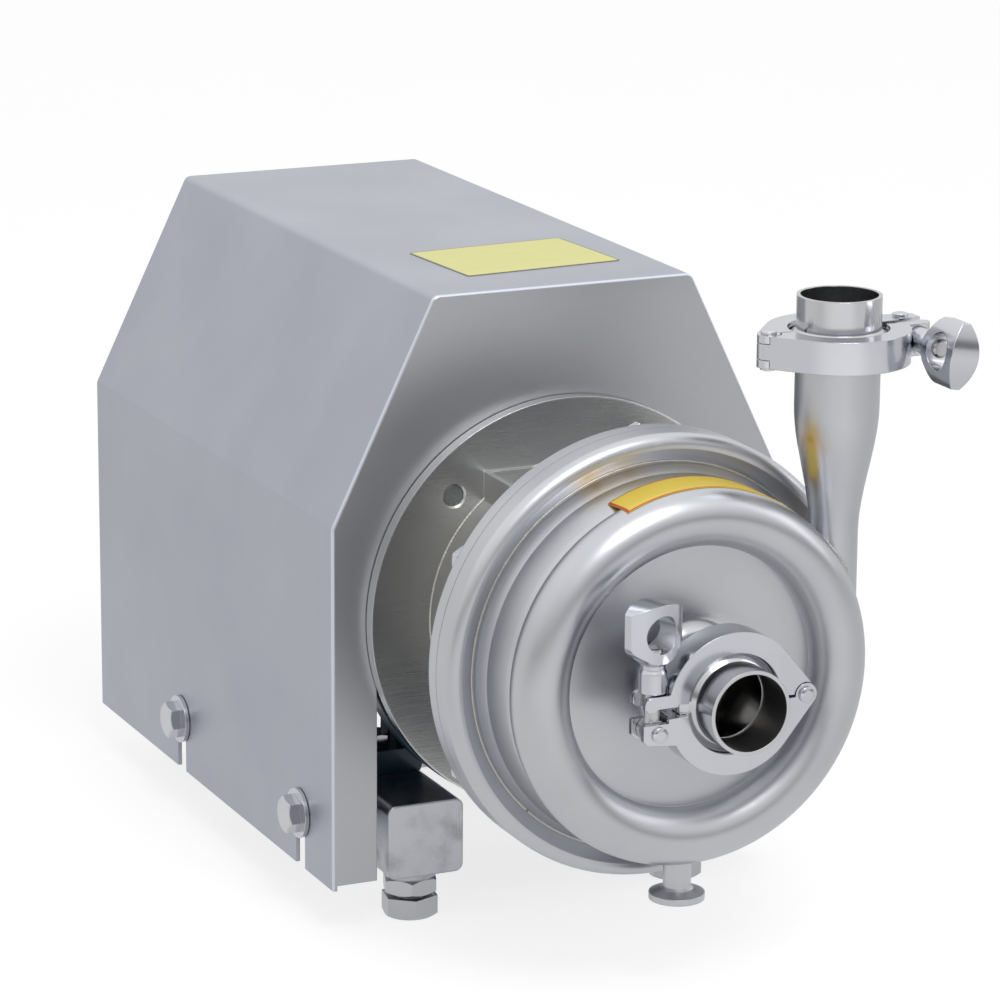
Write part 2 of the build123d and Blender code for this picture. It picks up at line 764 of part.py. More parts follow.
def cable_gland():
    """The screwed cable inlet in the side of the wiring box."""
    y = terminal_box_front_y + terminal_box_length / 2
    body = turned(
        (5, -6), (gland_radius, -6), (gland_radius, 0), (gland_radius + 3, 0),
        (gland_radius + 3, 5), (gland_radius + 1, 5), (gland_radius + 1, 12),
        (gland_radius - 2, 16), (5, 16),
    )
    return Pos(terminal_box_half_width, y, gland_z()) * Rot(0, 90, 0) * body


def stator_core():
    return along_shaft * ring(housing_bore, stator_bore, core_front_y, core_front_y + core_length)


def stator_windings():
    """The two winding heads that stand out of the stator's ends."""
    outer = housing_bore - 4
    inner = stator_bore + 3
    heads = []
    for low in (core_front_y - winding_length, core_front_y + core_length):
        heads.append(along_shaft * ring(outer, inner, low, low + winding_length))
    return heads


def motor_shaft():
    """The motor's stepped shaft, from its free end to the fan's seat."""
    rear = rear_bearing_y + bearing_width
    core_back = core_front_y + core_length
    return along_shaft * turned(
        (0, motor_face_y - motor_shaft_length), (motor_shaft_radius, motor_face_y - motor_shaft_length),
        (motor_shaft_radius, front_bearing_y), (bearing_bore - 0.03, front_bearing_y),
        (bearing_bore - 0.03, front_bearing_y + bearing_width + 1),
        (core_shaft_radius, front_bearing_y + bearing_width + 1), (core_shaft_radius, core_back + 8),
        (bearing_bore - 0.03, core_back + 8), (bearing_bore - 0.03, rear + 3),
        (fan_seat_radius, rear + 3), (fan_seat_radius, rear + 8 + fan_width), (0, rear + 8 + fan_width),
    )


def rotor_core():
    front = core_front_y - 4
    return along_shaft * ring(rotor_radius, core_shaft_radius, front, front + core_length + 8)


def bearing(low):
    """A sealed ball bearing as it stands in its shield: the outer ring and its two seal discs."""
    race = (bearing_radius - bearing_bore) * bearing_race_share
    inner = bearing_bore + race + 0.1
    outer = bearing_radius - race
    back = low + bearing_width
    return along_shaft * turned(
        (outer, low + 1.8), (outer, back - 1.8), (inner, back - 1.8), (inner, back - 0.6), (outer, back - 0.6),
        (outer, back), (bearing_radius, back), (bearing_radius, low), (outer, low), (outer, low + 0.6),
        (inner, low + 0.6), (inner, low + 1.8),
    )


def bearing_inner_rings():
    """The inner rings, which turn with the shaft."""
    race = (bearing_radius - bearing_bore) * bearing_race_share
    return [
        along_shaft * ring(bearing_bore + race, bearing_bore, low, low + bearing_width)
        for low in (front_bearing_y, rear_bearing_y)
    ]


def motor_rear_shield():
    """Rear end shield with the rear bearing's seat."""
    low = housing_back_y
    seat_back = rear_bearing_y + bearing_width
    return along_shaft * turned(
        (bearing_radius + 7, low + 1), (housing_bore, low), (housing_radius, low),
        (housing_radius, low + rear_shield_length - 6), (housing_radius - 8, low + rear_shield_length),
        (bearing_radius + 6, low + rear_shield_length), (bearing_radius + 6, seat_back + 2),
        (bearing_bore + 1, seat_back + 2), (bearing_bore + 1, seat_back),
        (bearing_radius, seat_back), (bearing_radius, rear_bearing_y), (bearing_radius + 7, rear_bearing_y),
    )


def cooling_fan():
    """A straight-bladed fan on the shaft's rear end."""
    low = rear_bearing_y + bearing_width + 6
    hub = ring(fan_hub_radius, fan_seat_radius, low, low + fan_width)
    plate = ring(fan_radius - 6, fan_seat_radius, low, low + 2.5)
    blade = slab((fan_hub_radius - 2, -1.25, low + 1), (fan_radius, 1.25, low + fan_width))
    blades = [Rot(0, 0, turn * 360 / fan_blades) * blade for turn in range(fan_blades)]
    return along_shaft * (hub + plate + blades)


def fan_cowl():
    """The fan's guard: a drum over the rear shield with rings of slots in its end."""
    back = housing_back_y + cowl_length
    front = housing_back_y + 3
    shell = along_shaft * turned(
        (cowl_radius - cowl_wall, front), (cowl_radius, front), (cowl_radius, back - cowl_corner),
        (cowl_radius - cowl_corner, back), (0, back), (0, back - cowl_wall),
        (cowl_radius - cowl_corner - cowl_wall / 2, back - cowl_wall),
        (cowl_radius - cowl_wall, back - cowl_corner - cowl_wall / 2),
    )
    slots = []
    for inner, outer, count in ((0.2, 0.46, 12), (0.54, 0.83, 18)):
        slot = slab((inner * cowl_radius, back - 4, -2.6), (outer * cowl_radius, back + 1, 2.6))
        slots += [Rot(0, (turn + 0.5) * 360 / count, 0) * slot for turn in range(count)]
    rest = []
    for index in range(4):
        lug = slab((housing_radius - 0.5, front, -6), (cowl_radius - cowl_wall / 2, front + 8, 6))
        lug -= along_shaft * Cylinder(housing_radius, right_through)
        rest.append(Rot(0, 45 + index * 90, 0) * lug)
    return shell - slots + rest


def rail(side):
    """One base rail: closed tube, foot bosses below and stand-off lugs for the cover's bolts."""
    centre = side * foot_half_spacing
    profile = RectangleRounded(rail_width, rail_height, rail_corner)
    hollow = RectangleRounded(rail_width - 2 * rail_wall, rail_height - 2 * rail_wall,
                              rail_corner - rail_wall)
    middle_z = (rail_top_z + rail_bottom_z) / 2
    length = rail_back_y - rail_front_y
    start = Plane(origin=(centre, rail_front_y, middle_z), x_dir=(1, 0, 0), z_dir=(0, 1, 0))
    inner_start = start.offset(rail_wall)
    beam = extrude(start * profile, length) - extrude(inner_start * hollow, length - 2 * rail_wall)
    bosses = [
        cylinder_along("z", boss_radius, (centre, y, rail_bottom_z), -boss_height) for y in foot_stations
    ]
    outer = centre + side * rail_width / 2
    reach = cover_half_width - sheet - cover_clearance - abs(outer)
    lugs = [
        cylinder_along("x", lug_radius, (outer - side, y, cover_bolt_z), side * (reach + 1))
        for y in cover_bolt_stations
    ]
    beam = beam + bosses + lugs
    for y in foot_stations:
        beam -= cylinder_along("z", foot_shank_radius + 0.05, (centre, y, rail_bottom_z - boss_height - 1),
                               boss_height + rail_wall + 2)
    for y in cover_bolt_stations:
        start = (outer + side * (reach + 1), y, cover_bolt_z)
        beam -= cylinder_along("x", cover_bolt_radius, start, -side * (reach + rail_wall + 2))
    for y in motor_foot_stations:
        beam -= cylinder_along("z", foot_hole_radius, (centre, y, rail_top_z + 1), -rail_wall - 2)
    return beam


def crossbars():
    """Two flat bars that join the rails."""
    half = foot_half_spacing - rail_width / 2
    top = rail_top_z - crossbar_drop
    return [
        slab((-half, y - crossbar_width / 2, top - crossbar_height), (half, y + crossbar_width / 2, top))
        for y in crossbar_stations
    ]


def foot_places():
    return [(side * foot_half_spacing, y) for y in foot_stations for side in (-1, 1)]


def lock_nuts():
    """The thin nuts that lock each foot against its boss."""
    nut = chamfered_hexagon(foot_across_flats, lock_nut_height, both_ends=True)
    nut -= Pos(0, 0, lock_nut_height / 2) * Cylinder(foot_shank_radius + 0.05, 2 * lock_nut_height)
    return [Pos(x, y, lock_nut_z) * Rot(0, 0, 12) * nut for x, y in foot_places()]


def levelling_foot(x, y):
    """A hexagon bolt turned head down, screwed into the rail's boss."""
    length = rail_bottom_z + rail_wall - foot_head_z + foot_travel
    bolt = Rot(180, 0, 0) * hex_bolt(foot_shank_radius, length, foot_across_flats, foot_head)
    return Pos(x, y, foot_head_z) * Rot(0, 0, 20) * bolt


def motor_foot_bolts():
    """Bolts through the motor's feet into the rails."""
    seat = -shaft_height + foot_thickness
    length = foot_thickness + rail_wall + foot_nut_height + 5.5
    bolt = hex_bolt(foot_hole_radius - 0.5, length, foot_bolt_across_flats, foot_bolt_head)
    return [Pos(side * foot_half_spacing, y, seat) * bolt for y in motor_foot_stations for side in (-1, 1)]


def motor_foot_nuts():
    nut = hexagon(foot_bolt_across_flats, foot_nut_height)
    nut -= Pos(0, 0, foot_nut_height / 2) * Cylinder(foot_hole_radius - 0.5, 2 * foot_nut_height)
    top = rail_top_z - rail_wall - foot_nut_height
    return [Pos(side * foot_half_spacing, y, top) * nut for y in motor_foot_stations for side in (-1, 1)]


def adapter_bolts():
    """Bolts from behind the motor's flange into the adapter disc."""
    seat = motor_face_y + motor_flange_thickness
    length = seat - adapter_front_y - 1.2
    bolt = hex_bolt(flange_bolt_radius, length, flange_bolt_across_flats, flange_bolt_head)
    return fastener_ring(bolt, seat, flange_bolt_circle, 4, 45)


def casing_bolts():
    bolt = hex_bolt(casing_bolt_radius, plate_rim + casing_bolt_grip, casing_bolt_across_flats, casing_bolt_head)
    return fastener_ring(bolt, plate_back_y, casing_bolt_circle, casing_bolt_count, 30)


def drum_bolts():
    length = drum_flange_thickness + drum_bolt_grip
    bolt = hex_bolt(casing_bolt_radius, length, casing_bolt_across_flats, casing_bolt_head)
    return fastener_ring(bolt, plate_back_y + drum_flange_thickness, drum_bolt_circle, drum_bolt_count, 45)


def cover_section(inset, fold=0.0):
    """The cover's six-sided section, inset by a number of millimetres, with its folds rounded."""
    run = cover_half_width - cover_top_half_width
    rise = cover_top_z - cover_shoulder_z
    slope = sqrt(run**2 + rise**2)
    side = cover_half_width - inset
    top = cover_top_z - inset
    shoulder = cover_shoulder_z - inset * (slope - rise) / run
    crown = cover_top_half_width - inset * (slope - run) / rise
    low = cover_bottom_z - (1 if inset else 0)
    section = outline((-side, low), (side, low), (side, shoulder), (crown, top), (-crown, top),
                      (-side, shoulder))
    if fold:
        section = fillet(section.vertices().filter_by_position(Axis.Y, 0, 2 * cover_top_z), fold)
    return Plane.XZ * section


def motor_cover():
    """Folded cover with a welded front panel; its slots let it lift off the side bolts."""
    back = panel_front_y + cover_length
    def prism(inset, low, high, fold=0.0):
        return Pos(0, high, 0) * extrude(cover_section(inset, fold), high - low)
    cover = prism(0, panel_front_y, back, fold_radius)
    rim = cover.edges().group_by(Axis.Y)[0].filter_by_position(Axis.Z, cover_bottom_z + 1, 2 * cover_top_z)
    cover = fillet(rim, panel_edge_radius)
    cover -= prism(sheet, panel_front_y + sheet, back - sheet, fold_radius - sheet)
    cover -= prism(cover_return, back - 2 * sheet, back + 1)
    arch = Plane.XZ * (Circle(arch_half_width) + Pos(0, cover_bottom_z) * Rectangle(
        2 * arch_half_width, -2 * cover_bottom_z))
    cover -= Pos(0, panel_front_y + sheet + 1, 0) * extrude(arch, sheet + 2)
    inner = cover_half_width - sheet
    cover -= slab((-inner, panel_front_y - 1, cover_bottom_z - 1),
                  (inner, panel_front_y + sheet, cover_bottom_z + panel_bottom_lift))
    reach = cover_half_width + 10
    for y in cover_bolt_stations:
        slot = slab((-reach, y - cover_slot_half_width, cover_bottom_z - 1),
                    (reach, y + cover_slot_half_width, cover_bolt_z))
        slot += Pos(0, y, cover_bolt_z) * Rot(0, 90, 0) * Cylinder(cover_slot_half_width, 2 * reach)
        cover -= slot
    return cover


def cover_bolt_places():
    return [(side, y) for y in cover_bolt_stations for side in (-1, 1)]


def cover_washers():
    seat = cover_half_width + cover_clearance
    washers = []
    for side, y in cover_bolt_places():
        disc = cylinder_along("x", washer_radius, (side * seat, y, cover_bolt_z), side * washer_thickness)
        washers.append(disc - cylinder_along("x", cover_bolt_radius, (side * (seat - 1), y, cover_bolt_z),
                                             side * (washer_thickness + 2)))
    return washers


def cover_bolts():
    seat = cover_half_width + cover_clearance + washer_thickness
    length = seat - foot_half_spacing - rail_width / 2 + rail_wall
    bolt = hex_bolt(cover_bolt_radius, length, cover_bolt_across_flats, cover_bolt_head)
    return [Pos(side * seat, y, cover_bolt_z) * Rot(0, side * 90, 0) * Rot(0, 0, 15) * bolt
            for side, y in cover_bolt_places()]


def hinge_hull(direction):
    """The clamp's flat outline on one side of its parting line, with its tangent hinge lug."""
    lean = asin((clamp_radius - hinge_lug_radius) / -hinge_x)
    touch_ring = (-clamp_radius * sin(lean), direction * clamp_radius * cos(lean))
    touch_lug = (hinge_x - hinge_lug_radius * sin(lean), direction * hinge_lug_radius * cos(lean))
    web = outline(touch_ring, touch_lug, (hinge_x, 0), (-clamp_bore, 0))
    return Circle(clamp_radius) + web


def clamp_void():
    """The tapered groove and bore inside a clamp, which the ferrules fill."""
    rim_half = ferrule_rim + gasket_thickness / 2 + clamp_clearance
    deep = ferrule_radius + clamp_clearance + 0.2
    mouth_half = rim_half + (deep - clamp_bore) * tan(radians(ferrule_taper))
    half = clamp_width
    return turned((0, -half), (clamp_bore, -half), (clamp_bore, -mouth_half), (deep, -rim_half),
                  (deep, rim_half), (clamp_bore, mouth_half), (clamp_bore, half), (0, half))


def clamp_plate(sketch, thickness=clamp_width):
    return extrude(Pos(0, 0, -thickness / 2) * sketch, thickness)


def parting_half(direction):
    """The block of space on one side of the clamp's parting line."""
    reach = 60
    left = direction * hinge_half_gap
    right = direction * (parting_half_gap + (reach - ear_tip_x) * 0.05)
    face = outline((-reach, left), (hinge_x, left), (reach, right), (reach, direction * reach),
                   (-reach, direction * reach))
    return clamp_plate(face, 2 * clamp_width)


def ear_slot(inner_x):
    return slab((inner_x, -40, -ear_slot_half_width), (ear_tip_x + 5, 40, ear_slot_half_width))


def clamp_fixed_half():
    """The half that carries the hinge fork and the swing bolt's pivot."""
    root = ferrule_radius + 2.2
    ear = outline((root, lower_ear_top), (ear_tip_x + 0.5, lower_ear_top),
                  (ear_tip_x + 0.5, lower_ear_bottom + 2), (ear_tip_x - 1.5, lower_ear_bottom),
                  (root, lower_ear_bottom - 1.5))
    half = clamp_plate(hinge_hull(-1)) & parting_half(-1)
    half += clamp_plate(ear)
    half += Pos(hinge_x, 0, 0) * Cylinder(hinge_lug_radius, clamp_width)
    half -= clamp_void()
    half -= Pos(hinge_x, 0, 0) * Cylinder(hinge_lug_radius + lug_clearance, tongue_width + lug_clearance)
    half -= ear_slot(pivot_x - bolt_eye_radius - 1)
    half -= Pos(pivot_x, pivot_y, 0) * Cylinder(pin_radius, 2 * clamp_width)
    half -= Pos(hinge_x, 0, 0) * Cylinder(pin_radius, 2 * clamp_width)
    return half


def clamp_moving_half():
    """The half that swings about the hinge pin, with its tongue and forked ear."""
    root = ferrule_radius + 2.2
    tip = ear_tip_x - upper_ear_round
    ear_block = outline((root, upper_ear_bottom), (ear_tip_x, upper_ear_bottom),
                        (ear_tip_x, upper_ear_top - upper_ear_round), (tip, upper_ear_top),
                        (root, upper_ear_top))
    ear = ear_block + Pos(tip, upper_ear_top - upper_ear_round) * Circle(upper_ear_round)
    half = clamp_plate(hinge_hull(1)) & parting_half(1)
    half += clamp_plate(ear)
    lug = Pos(hinge_x, 0, 0) * Cylinder(hinge_lug_radius, tongue_width)
    half += lug
    half -= clamp_void()
    cheek = Pos(hinge_x, 0, 0) * Cylinder(hinge_lug_radius + lug_clearance, 2 * clamp_width)
    keep = Pos(hinge_x, 0, 0) * Cylinder(3 * hinge_lug_radius, tongue_width)
    half -= cheek - keep
    half -= ear_slot(pivot_x - bolt_radius - 0.8)
    half -= cylinder_along("y", wing_nut_base_radius + 0.6, (pivot_x, upper_ear_top, 0), 20)
    half -= Pos(hinge_x, 0, 0) * Cylinder(pin_radius + pin_clearance, 2 * clamp_width)
    return half


def clamp_pin(x, y):
    """A headed pin through a clamp's fork."""
    half = clamp_width / 2
    head = half + pin_head
    crown = head + 0.5
    top = pin_head_radius * 0.6
    pin = turned((0, -crown), (top, -crown), (pin_head_radius, -head), (pin_head_radius, -half),
                 (pin_radius, -half), (pin_radius, half), (pin_head_radius, half), (pin_head_radius, head),
                 (top, crown), (0, crown))
    return Pos(x, y, 0) * pin


def swing_bolt():
    """The eye bolt that swings on its pivot pin."""
    window_floor = nut_base_y + wing_nut_length - wing_window_from_end - wing_window_radius
    top = window_floor + 1.8
    eye = Cylinder(bolt_eye_radius, 2 * bolt_eye_half_width)
    shank = extrude(Plane(origin=(0, 0, 0), z_dir=(0, 1, 0)) * Circle(bolt_radius), top - pivot_y)
    shank = chamfer(shank.edges().group_by(Axis.Y)[-1], 0.8)
    body = eye + shank - Cylinder(pin_radius + pin_clearance, 30)
    return Pos(pivot_x, pivot_y, 0) * body


def wing_nut(turn):
    """The long wing nut: a round base and neck that widen into a thick lens with a round window."""
    top = wing_nut_length
    neck = wing_neck_radius
    flare = wing_flare_start
    full = flare + wing_flare_length
    shoulder = top - wing_crown
    edges = Line((-neck, flare), (neck, flare)).edges()
    for side in (-1, 1):
        reach = side * wing_half_width
        sweep_out = Bezier((side * neck, flare), (side * neck, flare + 4), (reach, full - 5), (reach, full))
        edges += sweep_out.edges() + Line((reach, full), (reach, shoulder)).edges()
    edges += ThreePointArc((wing_half_width, shoulder), (0, top), (-wing_half_width, shoulder)).edges()
    wing = extrude(Pos(0, 0, -wing_thickness / 2) * make_face(edges), wing_thickness)
    bulge = (wing_thickness - wing_tip_thickness) / 2
    lens_radius = (wing_half_width**2 + bulge**2) / (2 * bulge)
    offset = lens_radius - wing_thickness / 2
    upright = Plane(origin=(0, 0, 0), x_dir=(1, 0, 0), z_dir=(0, 1, 0))
    for side in (-1, 1):
        wing &= extrude(upright * Pos(0, side * offset) * Circle(lens_radius), top)
    wide = 2 * wing_half_width
    stand = Rot(-90, 0, 0)
    wing &= stand * turned((0, 0), (neck, flare), (wide, full + 6), (wide, top + 1), (0, top + 1))
    base = wing_nut_base_radius
    base_end = wing_nut_base_length
    stem = stand * turned((0, 0), (base, 0), (base, base_end), (neck, base_end + 1.5), (neck, flare + 6),
                          (0, flare + 6))
    window_y = top - wing_window_from_end
    nut = wing + stem
    nut -= Pos(0, window_y, 0) * Cylinder(wing_window_radius, 2 * wing_thickness)
    nut -= cylinder_along("y", bolt_radius + thread_clearance, (0, -1, 0), window_y)
    return Pos(pivot_x, nut_base_y, 0) * Rot(0, turn, 0) * nut


def write(name, shape):
    """Write one piece, or a group of like pieces, under its node's name."""
    pieces = shape if isinstance(shape, list) else [shape]
    solids = [solid for piece in pieces for solid in piece.solids()]
    body = solids[0] if len(solids) == 1 else Compound(children=solids)
    body.label = name
    export_step(body, f"parts/{name}.step")


def write_all():
    write("casing", casing())
    write("back_plate", back_plate())
    write("casing_seal_ring", casing_seal_ring())
    write("casing_bolts", casing_bolts())
    write("impeller", impeller())
    write("impeller_nut", impeller_nut())
    write("stub_shaft", stub_shaft())
    write("set_screws", set_screws())
    write("seal_seat", seal_seat())
    write("seal_ring", seal_ring())
    write("seal_spring", seal_spring())
    write("seal_collar", seal_collar())
    write("lantern", lantern())
    write("lantern_lid", lantern_lid())
    write("lantern_bolts", drum_bolts())
    write("adapter_bolts", adapter_bolts())
    write("motor_flange_shield", motor_flange_shield())
    write("motor_housing", motor_housing())
    write("motor_rear_shield", motor_rear_shield())
    write("stator_core", stator_core())
    write("stator_windings", stator_windings())
    write("motor_shaft", motor_shaft())
    write("rotor_core", rotor_core())
    write("front_bearing", bearing(front_bearing_y))
    write("rear_bearing", bearing(rear_bearing_y))
    write("bearing_inner_rings", bearing_inner_rings())
    write("cooling_fan", cooling_fan())
    write("fan_cowl", fan_cowl())
    write("terminal_box", terminal_box())
    write("terminal_box_lid", terminal_box_lid())
    write("cable_gland", cable_gland())
    write("left_rail", rail(-1))
    write("right_rail", rail(1))
    write("crossbars", crossbars())
    write("lock_nuts", lock_nuts())
    names = ("front_left_foot", "front_right_foot", "rear_left_foot", "rear_right_foot")
    for name, (x, y) in zip(names, foot_places()):
        write(name, levelling_foot(x, y))
    write("motor_foot_bolts", motor_foot_bolts())
    write("motor_foot_nuts", motor_foot_nuts())
    write("motor_cover", motor_cover())
    write("cover_washers", cover_washers())
    write("cover_bolts", cover_bolts())
    write("suction_ferrule", along_shaft * loose_ferrule(joint_front_y, -1))
    write("suction_gasket", along_shaft * gasket(joint_front_y))
    riser = Pos(outlet_x, outlet_y, 0)
    write("discharge_ferrule", riser * loose_ferrule(discharge_joint_z, 1))
    write("discharge_gasket", riser * gasket(discharge_joint_z - gasket_thickness))
    for port, place, nut_turn in (("suction", suction_clamp, suction_nut_turn),
                                  ("discharge", discharge_clamp, discharge_nut_turn)):
        write(f"{port}_clamp_fixed_half", place * clamp_fixed_half())
        write(f"{port}_clamp_moving_half", place * clamp_moving_half())
        write(f"{port}_clamp_pins", [place * clamp_pin(hinge_x, 0), place * clamp_pin(pivot_x, pivot_y)])
        write(f"{port}_swing_bolt", place * swing_bolt())
        write(f"{port}_wing_nut", place * wing_nut(nut_turn))


write_all()
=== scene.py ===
import bmesh
import bpy
from math import cos, pi, radians, sin, sqrt
from mathutils import Matrix, Vector


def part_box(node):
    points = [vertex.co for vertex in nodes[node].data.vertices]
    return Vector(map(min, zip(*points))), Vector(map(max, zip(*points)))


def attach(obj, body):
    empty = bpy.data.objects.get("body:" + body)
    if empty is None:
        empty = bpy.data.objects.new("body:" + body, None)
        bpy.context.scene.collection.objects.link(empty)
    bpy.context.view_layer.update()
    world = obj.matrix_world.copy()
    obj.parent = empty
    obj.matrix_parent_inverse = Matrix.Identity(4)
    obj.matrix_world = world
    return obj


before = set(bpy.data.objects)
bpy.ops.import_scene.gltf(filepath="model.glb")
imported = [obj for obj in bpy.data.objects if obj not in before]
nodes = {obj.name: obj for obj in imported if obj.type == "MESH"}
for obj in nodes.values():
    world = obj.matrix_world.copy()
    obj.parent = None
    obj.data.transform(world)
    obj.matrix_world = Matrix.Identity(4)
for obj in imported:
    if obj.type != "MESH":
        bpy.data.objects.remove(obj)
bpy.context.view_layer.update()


def middle(node):
    """The middle of the box round a node."""
    low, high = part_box(node)
    return (low + high) / 2


# Places on the pump in metres, read from its solids. The shaft lies along y and z is up
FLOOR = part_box("front_left_foot")[0].z
COVER_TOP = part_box("motor_cover")[1].z
PANEL_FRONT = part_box("motor_cover")[0].y
DISC_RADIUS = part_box("lantern")[1].x
FLANGE_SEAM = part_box("casing")[1].y
RISER = middle("discharge_ferrule")
RAIL_X = middle("front_right_foot").x
FRONT_FOOT, REAR_FOOT = middle("front_left_foot").y, middle("rear_left_foot").y

# Places that the solids' boxes don't give
DISC_FACE = 0.1841
DRUM_RADIUS = 0.0702
HATCH_SIDE, HATCH_TOP = 0.0435, 0.0685
BORE_RADIUS = 0.0177
NECK_EDGE, FLARE_EDGE = 0.027, 0.033
FOOT_HEAD_TOP = FLOOR + 0.0101
FOOT_THREAD, CLAMP_THREAD = 0.002, 0.00125


# Finishes

class Value:
    """A quantity that varies over a surface, with ordinary arithmetic."""

    def __init__(self, finish, socket):
        self.finish = finish
        self.socket = socket

    def _maths(self, operation, *others):
        return self.finish.node("ShaderNodeMath", {"operation": operation},
                                {0: self, **dict(enumerate(others, 1))})

    def __add__(self, other):
        return self._maths("ADD", other)

    def __sub__(self, other):
        return self._maths("SUBTRACT", other)

    def __rsub__(self, other):
        return self.finish.node("ShaderNodeMath", {"operation": "SUBTRACT"}, {0: other, 1: self})

    def __mul__(self, other):
        return self._maths("MULTIPLY", other)

    def __gt__(self, other):
        return self._maths("GREATER_THAN", other)

    def __lt__(self, other):
        return self._maths("LESS_THAN", other)

    def __abs__(self):
        return self._maths("ABSOLUTE")

    def root(self):
        return self._maths("SQRT")

    def fraction(self):
        return self._maths("FRACT")

    def high(self, other):
        return self._maths("MAXIMUM", other)

    def low(self, other):
        return self._maths("MINIMUM", other)

    __radd__ = __add__
    __rmul__ = __mul__


class Finish:
    """One procedural finish: a material, or the world around the pump."""

    def __init__(self, name, kind="materials"):
        self.block = getattr(bpy.data, kind).new(name)
        self.block.use_nodes = True
        self.tree = self.block.node_tree
        self.shader = self.tree.nodes.get("Principled BSDF")

    def node(self, kind, settings=None, inputs=None, output=0):
        made = self.tree.nodes.new(kind)
        for key, value in (settings or {}).items():
            setattr(made, key, value)
        for key, value in (inputs or {}).items():
            self.feed(made.inputs[key], value)
        return Value(self, made.outputs[output])

    def feed(self, socket, value):
        if isinstance(value, Value):
            self.tree.links.new(value.socket, socket)
        else:
            socket.default_value = value

    def surface(self, **sockets):
        for key, value in sockets.items():
            self.feed(self.shader.inputs[key.replace("_", " ")], value)

    def place(self):
        """Position on the object, in the pump's frame."""
        return self.node("ShaderNodeTexCoord", output="Object")

    def facing(self):
        """The surface's own direction, in the pump's frame."""
        return self.node("ShaderNodeTexCoord", output="Normal")

    def rays(self):
        """Masks of the rays that the camera sees, also through glass, and of those off glossy steel."""
        kinds = self.node("ShaderNodeLightPath").socket.node.outputs
        seen = Value(self, kinds["Is Camera Ray"]).high(Value(self, kinds["Is Transmission Ray"]))
        return seen, Value(self, kinds["Is Glossy Ray"])

    def split(self, vector):
        made = self.node("ShaderNodeSeparateXYZ", inputs={0: vector})
        outputs = made.socket.node.outputs
        return [Value(self, outputs[index]) for index in range(3)]

    def join(self, x, y, z):
        return self.node("ShaderNodeCombineXYZ", inputs={0: x, 1: y, 2: z})

    def stretched(self, vector, scale):
        return self.node("ShaderNodeMapping", inputs={"Vector": vector, "Scale": scale})

    def noise(self, vector, scale=1.0, detail=3.0, roughness=0.5):
        return self.node("ShaderNodeTexNoise", inputs={
            "Vector": vector, "Scale": scale, "Detail": detail, "Roughness": roughness})

    def span(self, value, low, high, out_low=0.0, out_high=1.0):
        return self.node("ShaderNodeMapRange", {"clamp": True}, {
            "Value": value, "From Min": low, "From Max": high, "To Min": out_low, "To Max": out_high})

    def blend(self, factor, one, two):
        made = self.node("ShaderNodeMix", {"data_type": "RGBA"}, {0: factor, 6: opaque(one), 7: opaque(two)})
        return Value(self, made.socket.node.outputs[2])

    def bump(self, height, strength, distance, normal=None):
        inputs = {"Height": height, "Strength": strength, "Distance": distance}
        if normal is not None:
            inputs["Normal"] = normal
        return self.node("ShaderNodeBump", inputs=inputs)

    def soft_edge(self, radius):
        return self.node("ShaderNodeBevel", {"samples": 6}, {"Radius": radius})

    def near(self, place, point, reach):
        """1 at a point of the pump, falling to 0 at a distance of reach."""
        gap = self.node("ShaderNodeVectorMath", {"operation": "DISTANCE"}, {0: place, 1: point}, "Value")
        return self.span(gap, 0.0, reach, 1.0, 0.0)


def opaque(tone):
    if isinstance(tone, Value):
        return tone
    return (*tone, 1)


def shade(tone, *factors):
    """A tone made lighter or darker, by one factor or by one for each of red, green and blue."""
    if len(factors) == 1:
        factors = factors * 3
    return tuple(min(1.0, part * factor) for part, factor in zip(tone, factors))


STRAW, BRONZE = (0.62, 0.43, 0.16), (0.34, 0.20, 0.09)
GRAIN_RELIEF = 0.0002

# Grain as scales along x, y and z, or for turned steel along radius, y and the way round
SHEET_GRAIN, BRUSHED_GRAIN, TUBE_GRAIN = (60, 900, 900), (50, 1800, 2200), (60, 300, 500)
SPUN_GRAIN, LATHE_GRAIN = (2200, 2200, 90), (1400, 1400, 200)
FORGED_GRAIN, CLAMP_GRAIN, BEAD_GRAIN = (250, 250, 250), (160, 160, 160), (300, 300, 300)
CORE_GRAIN = (20, 3000, 20)


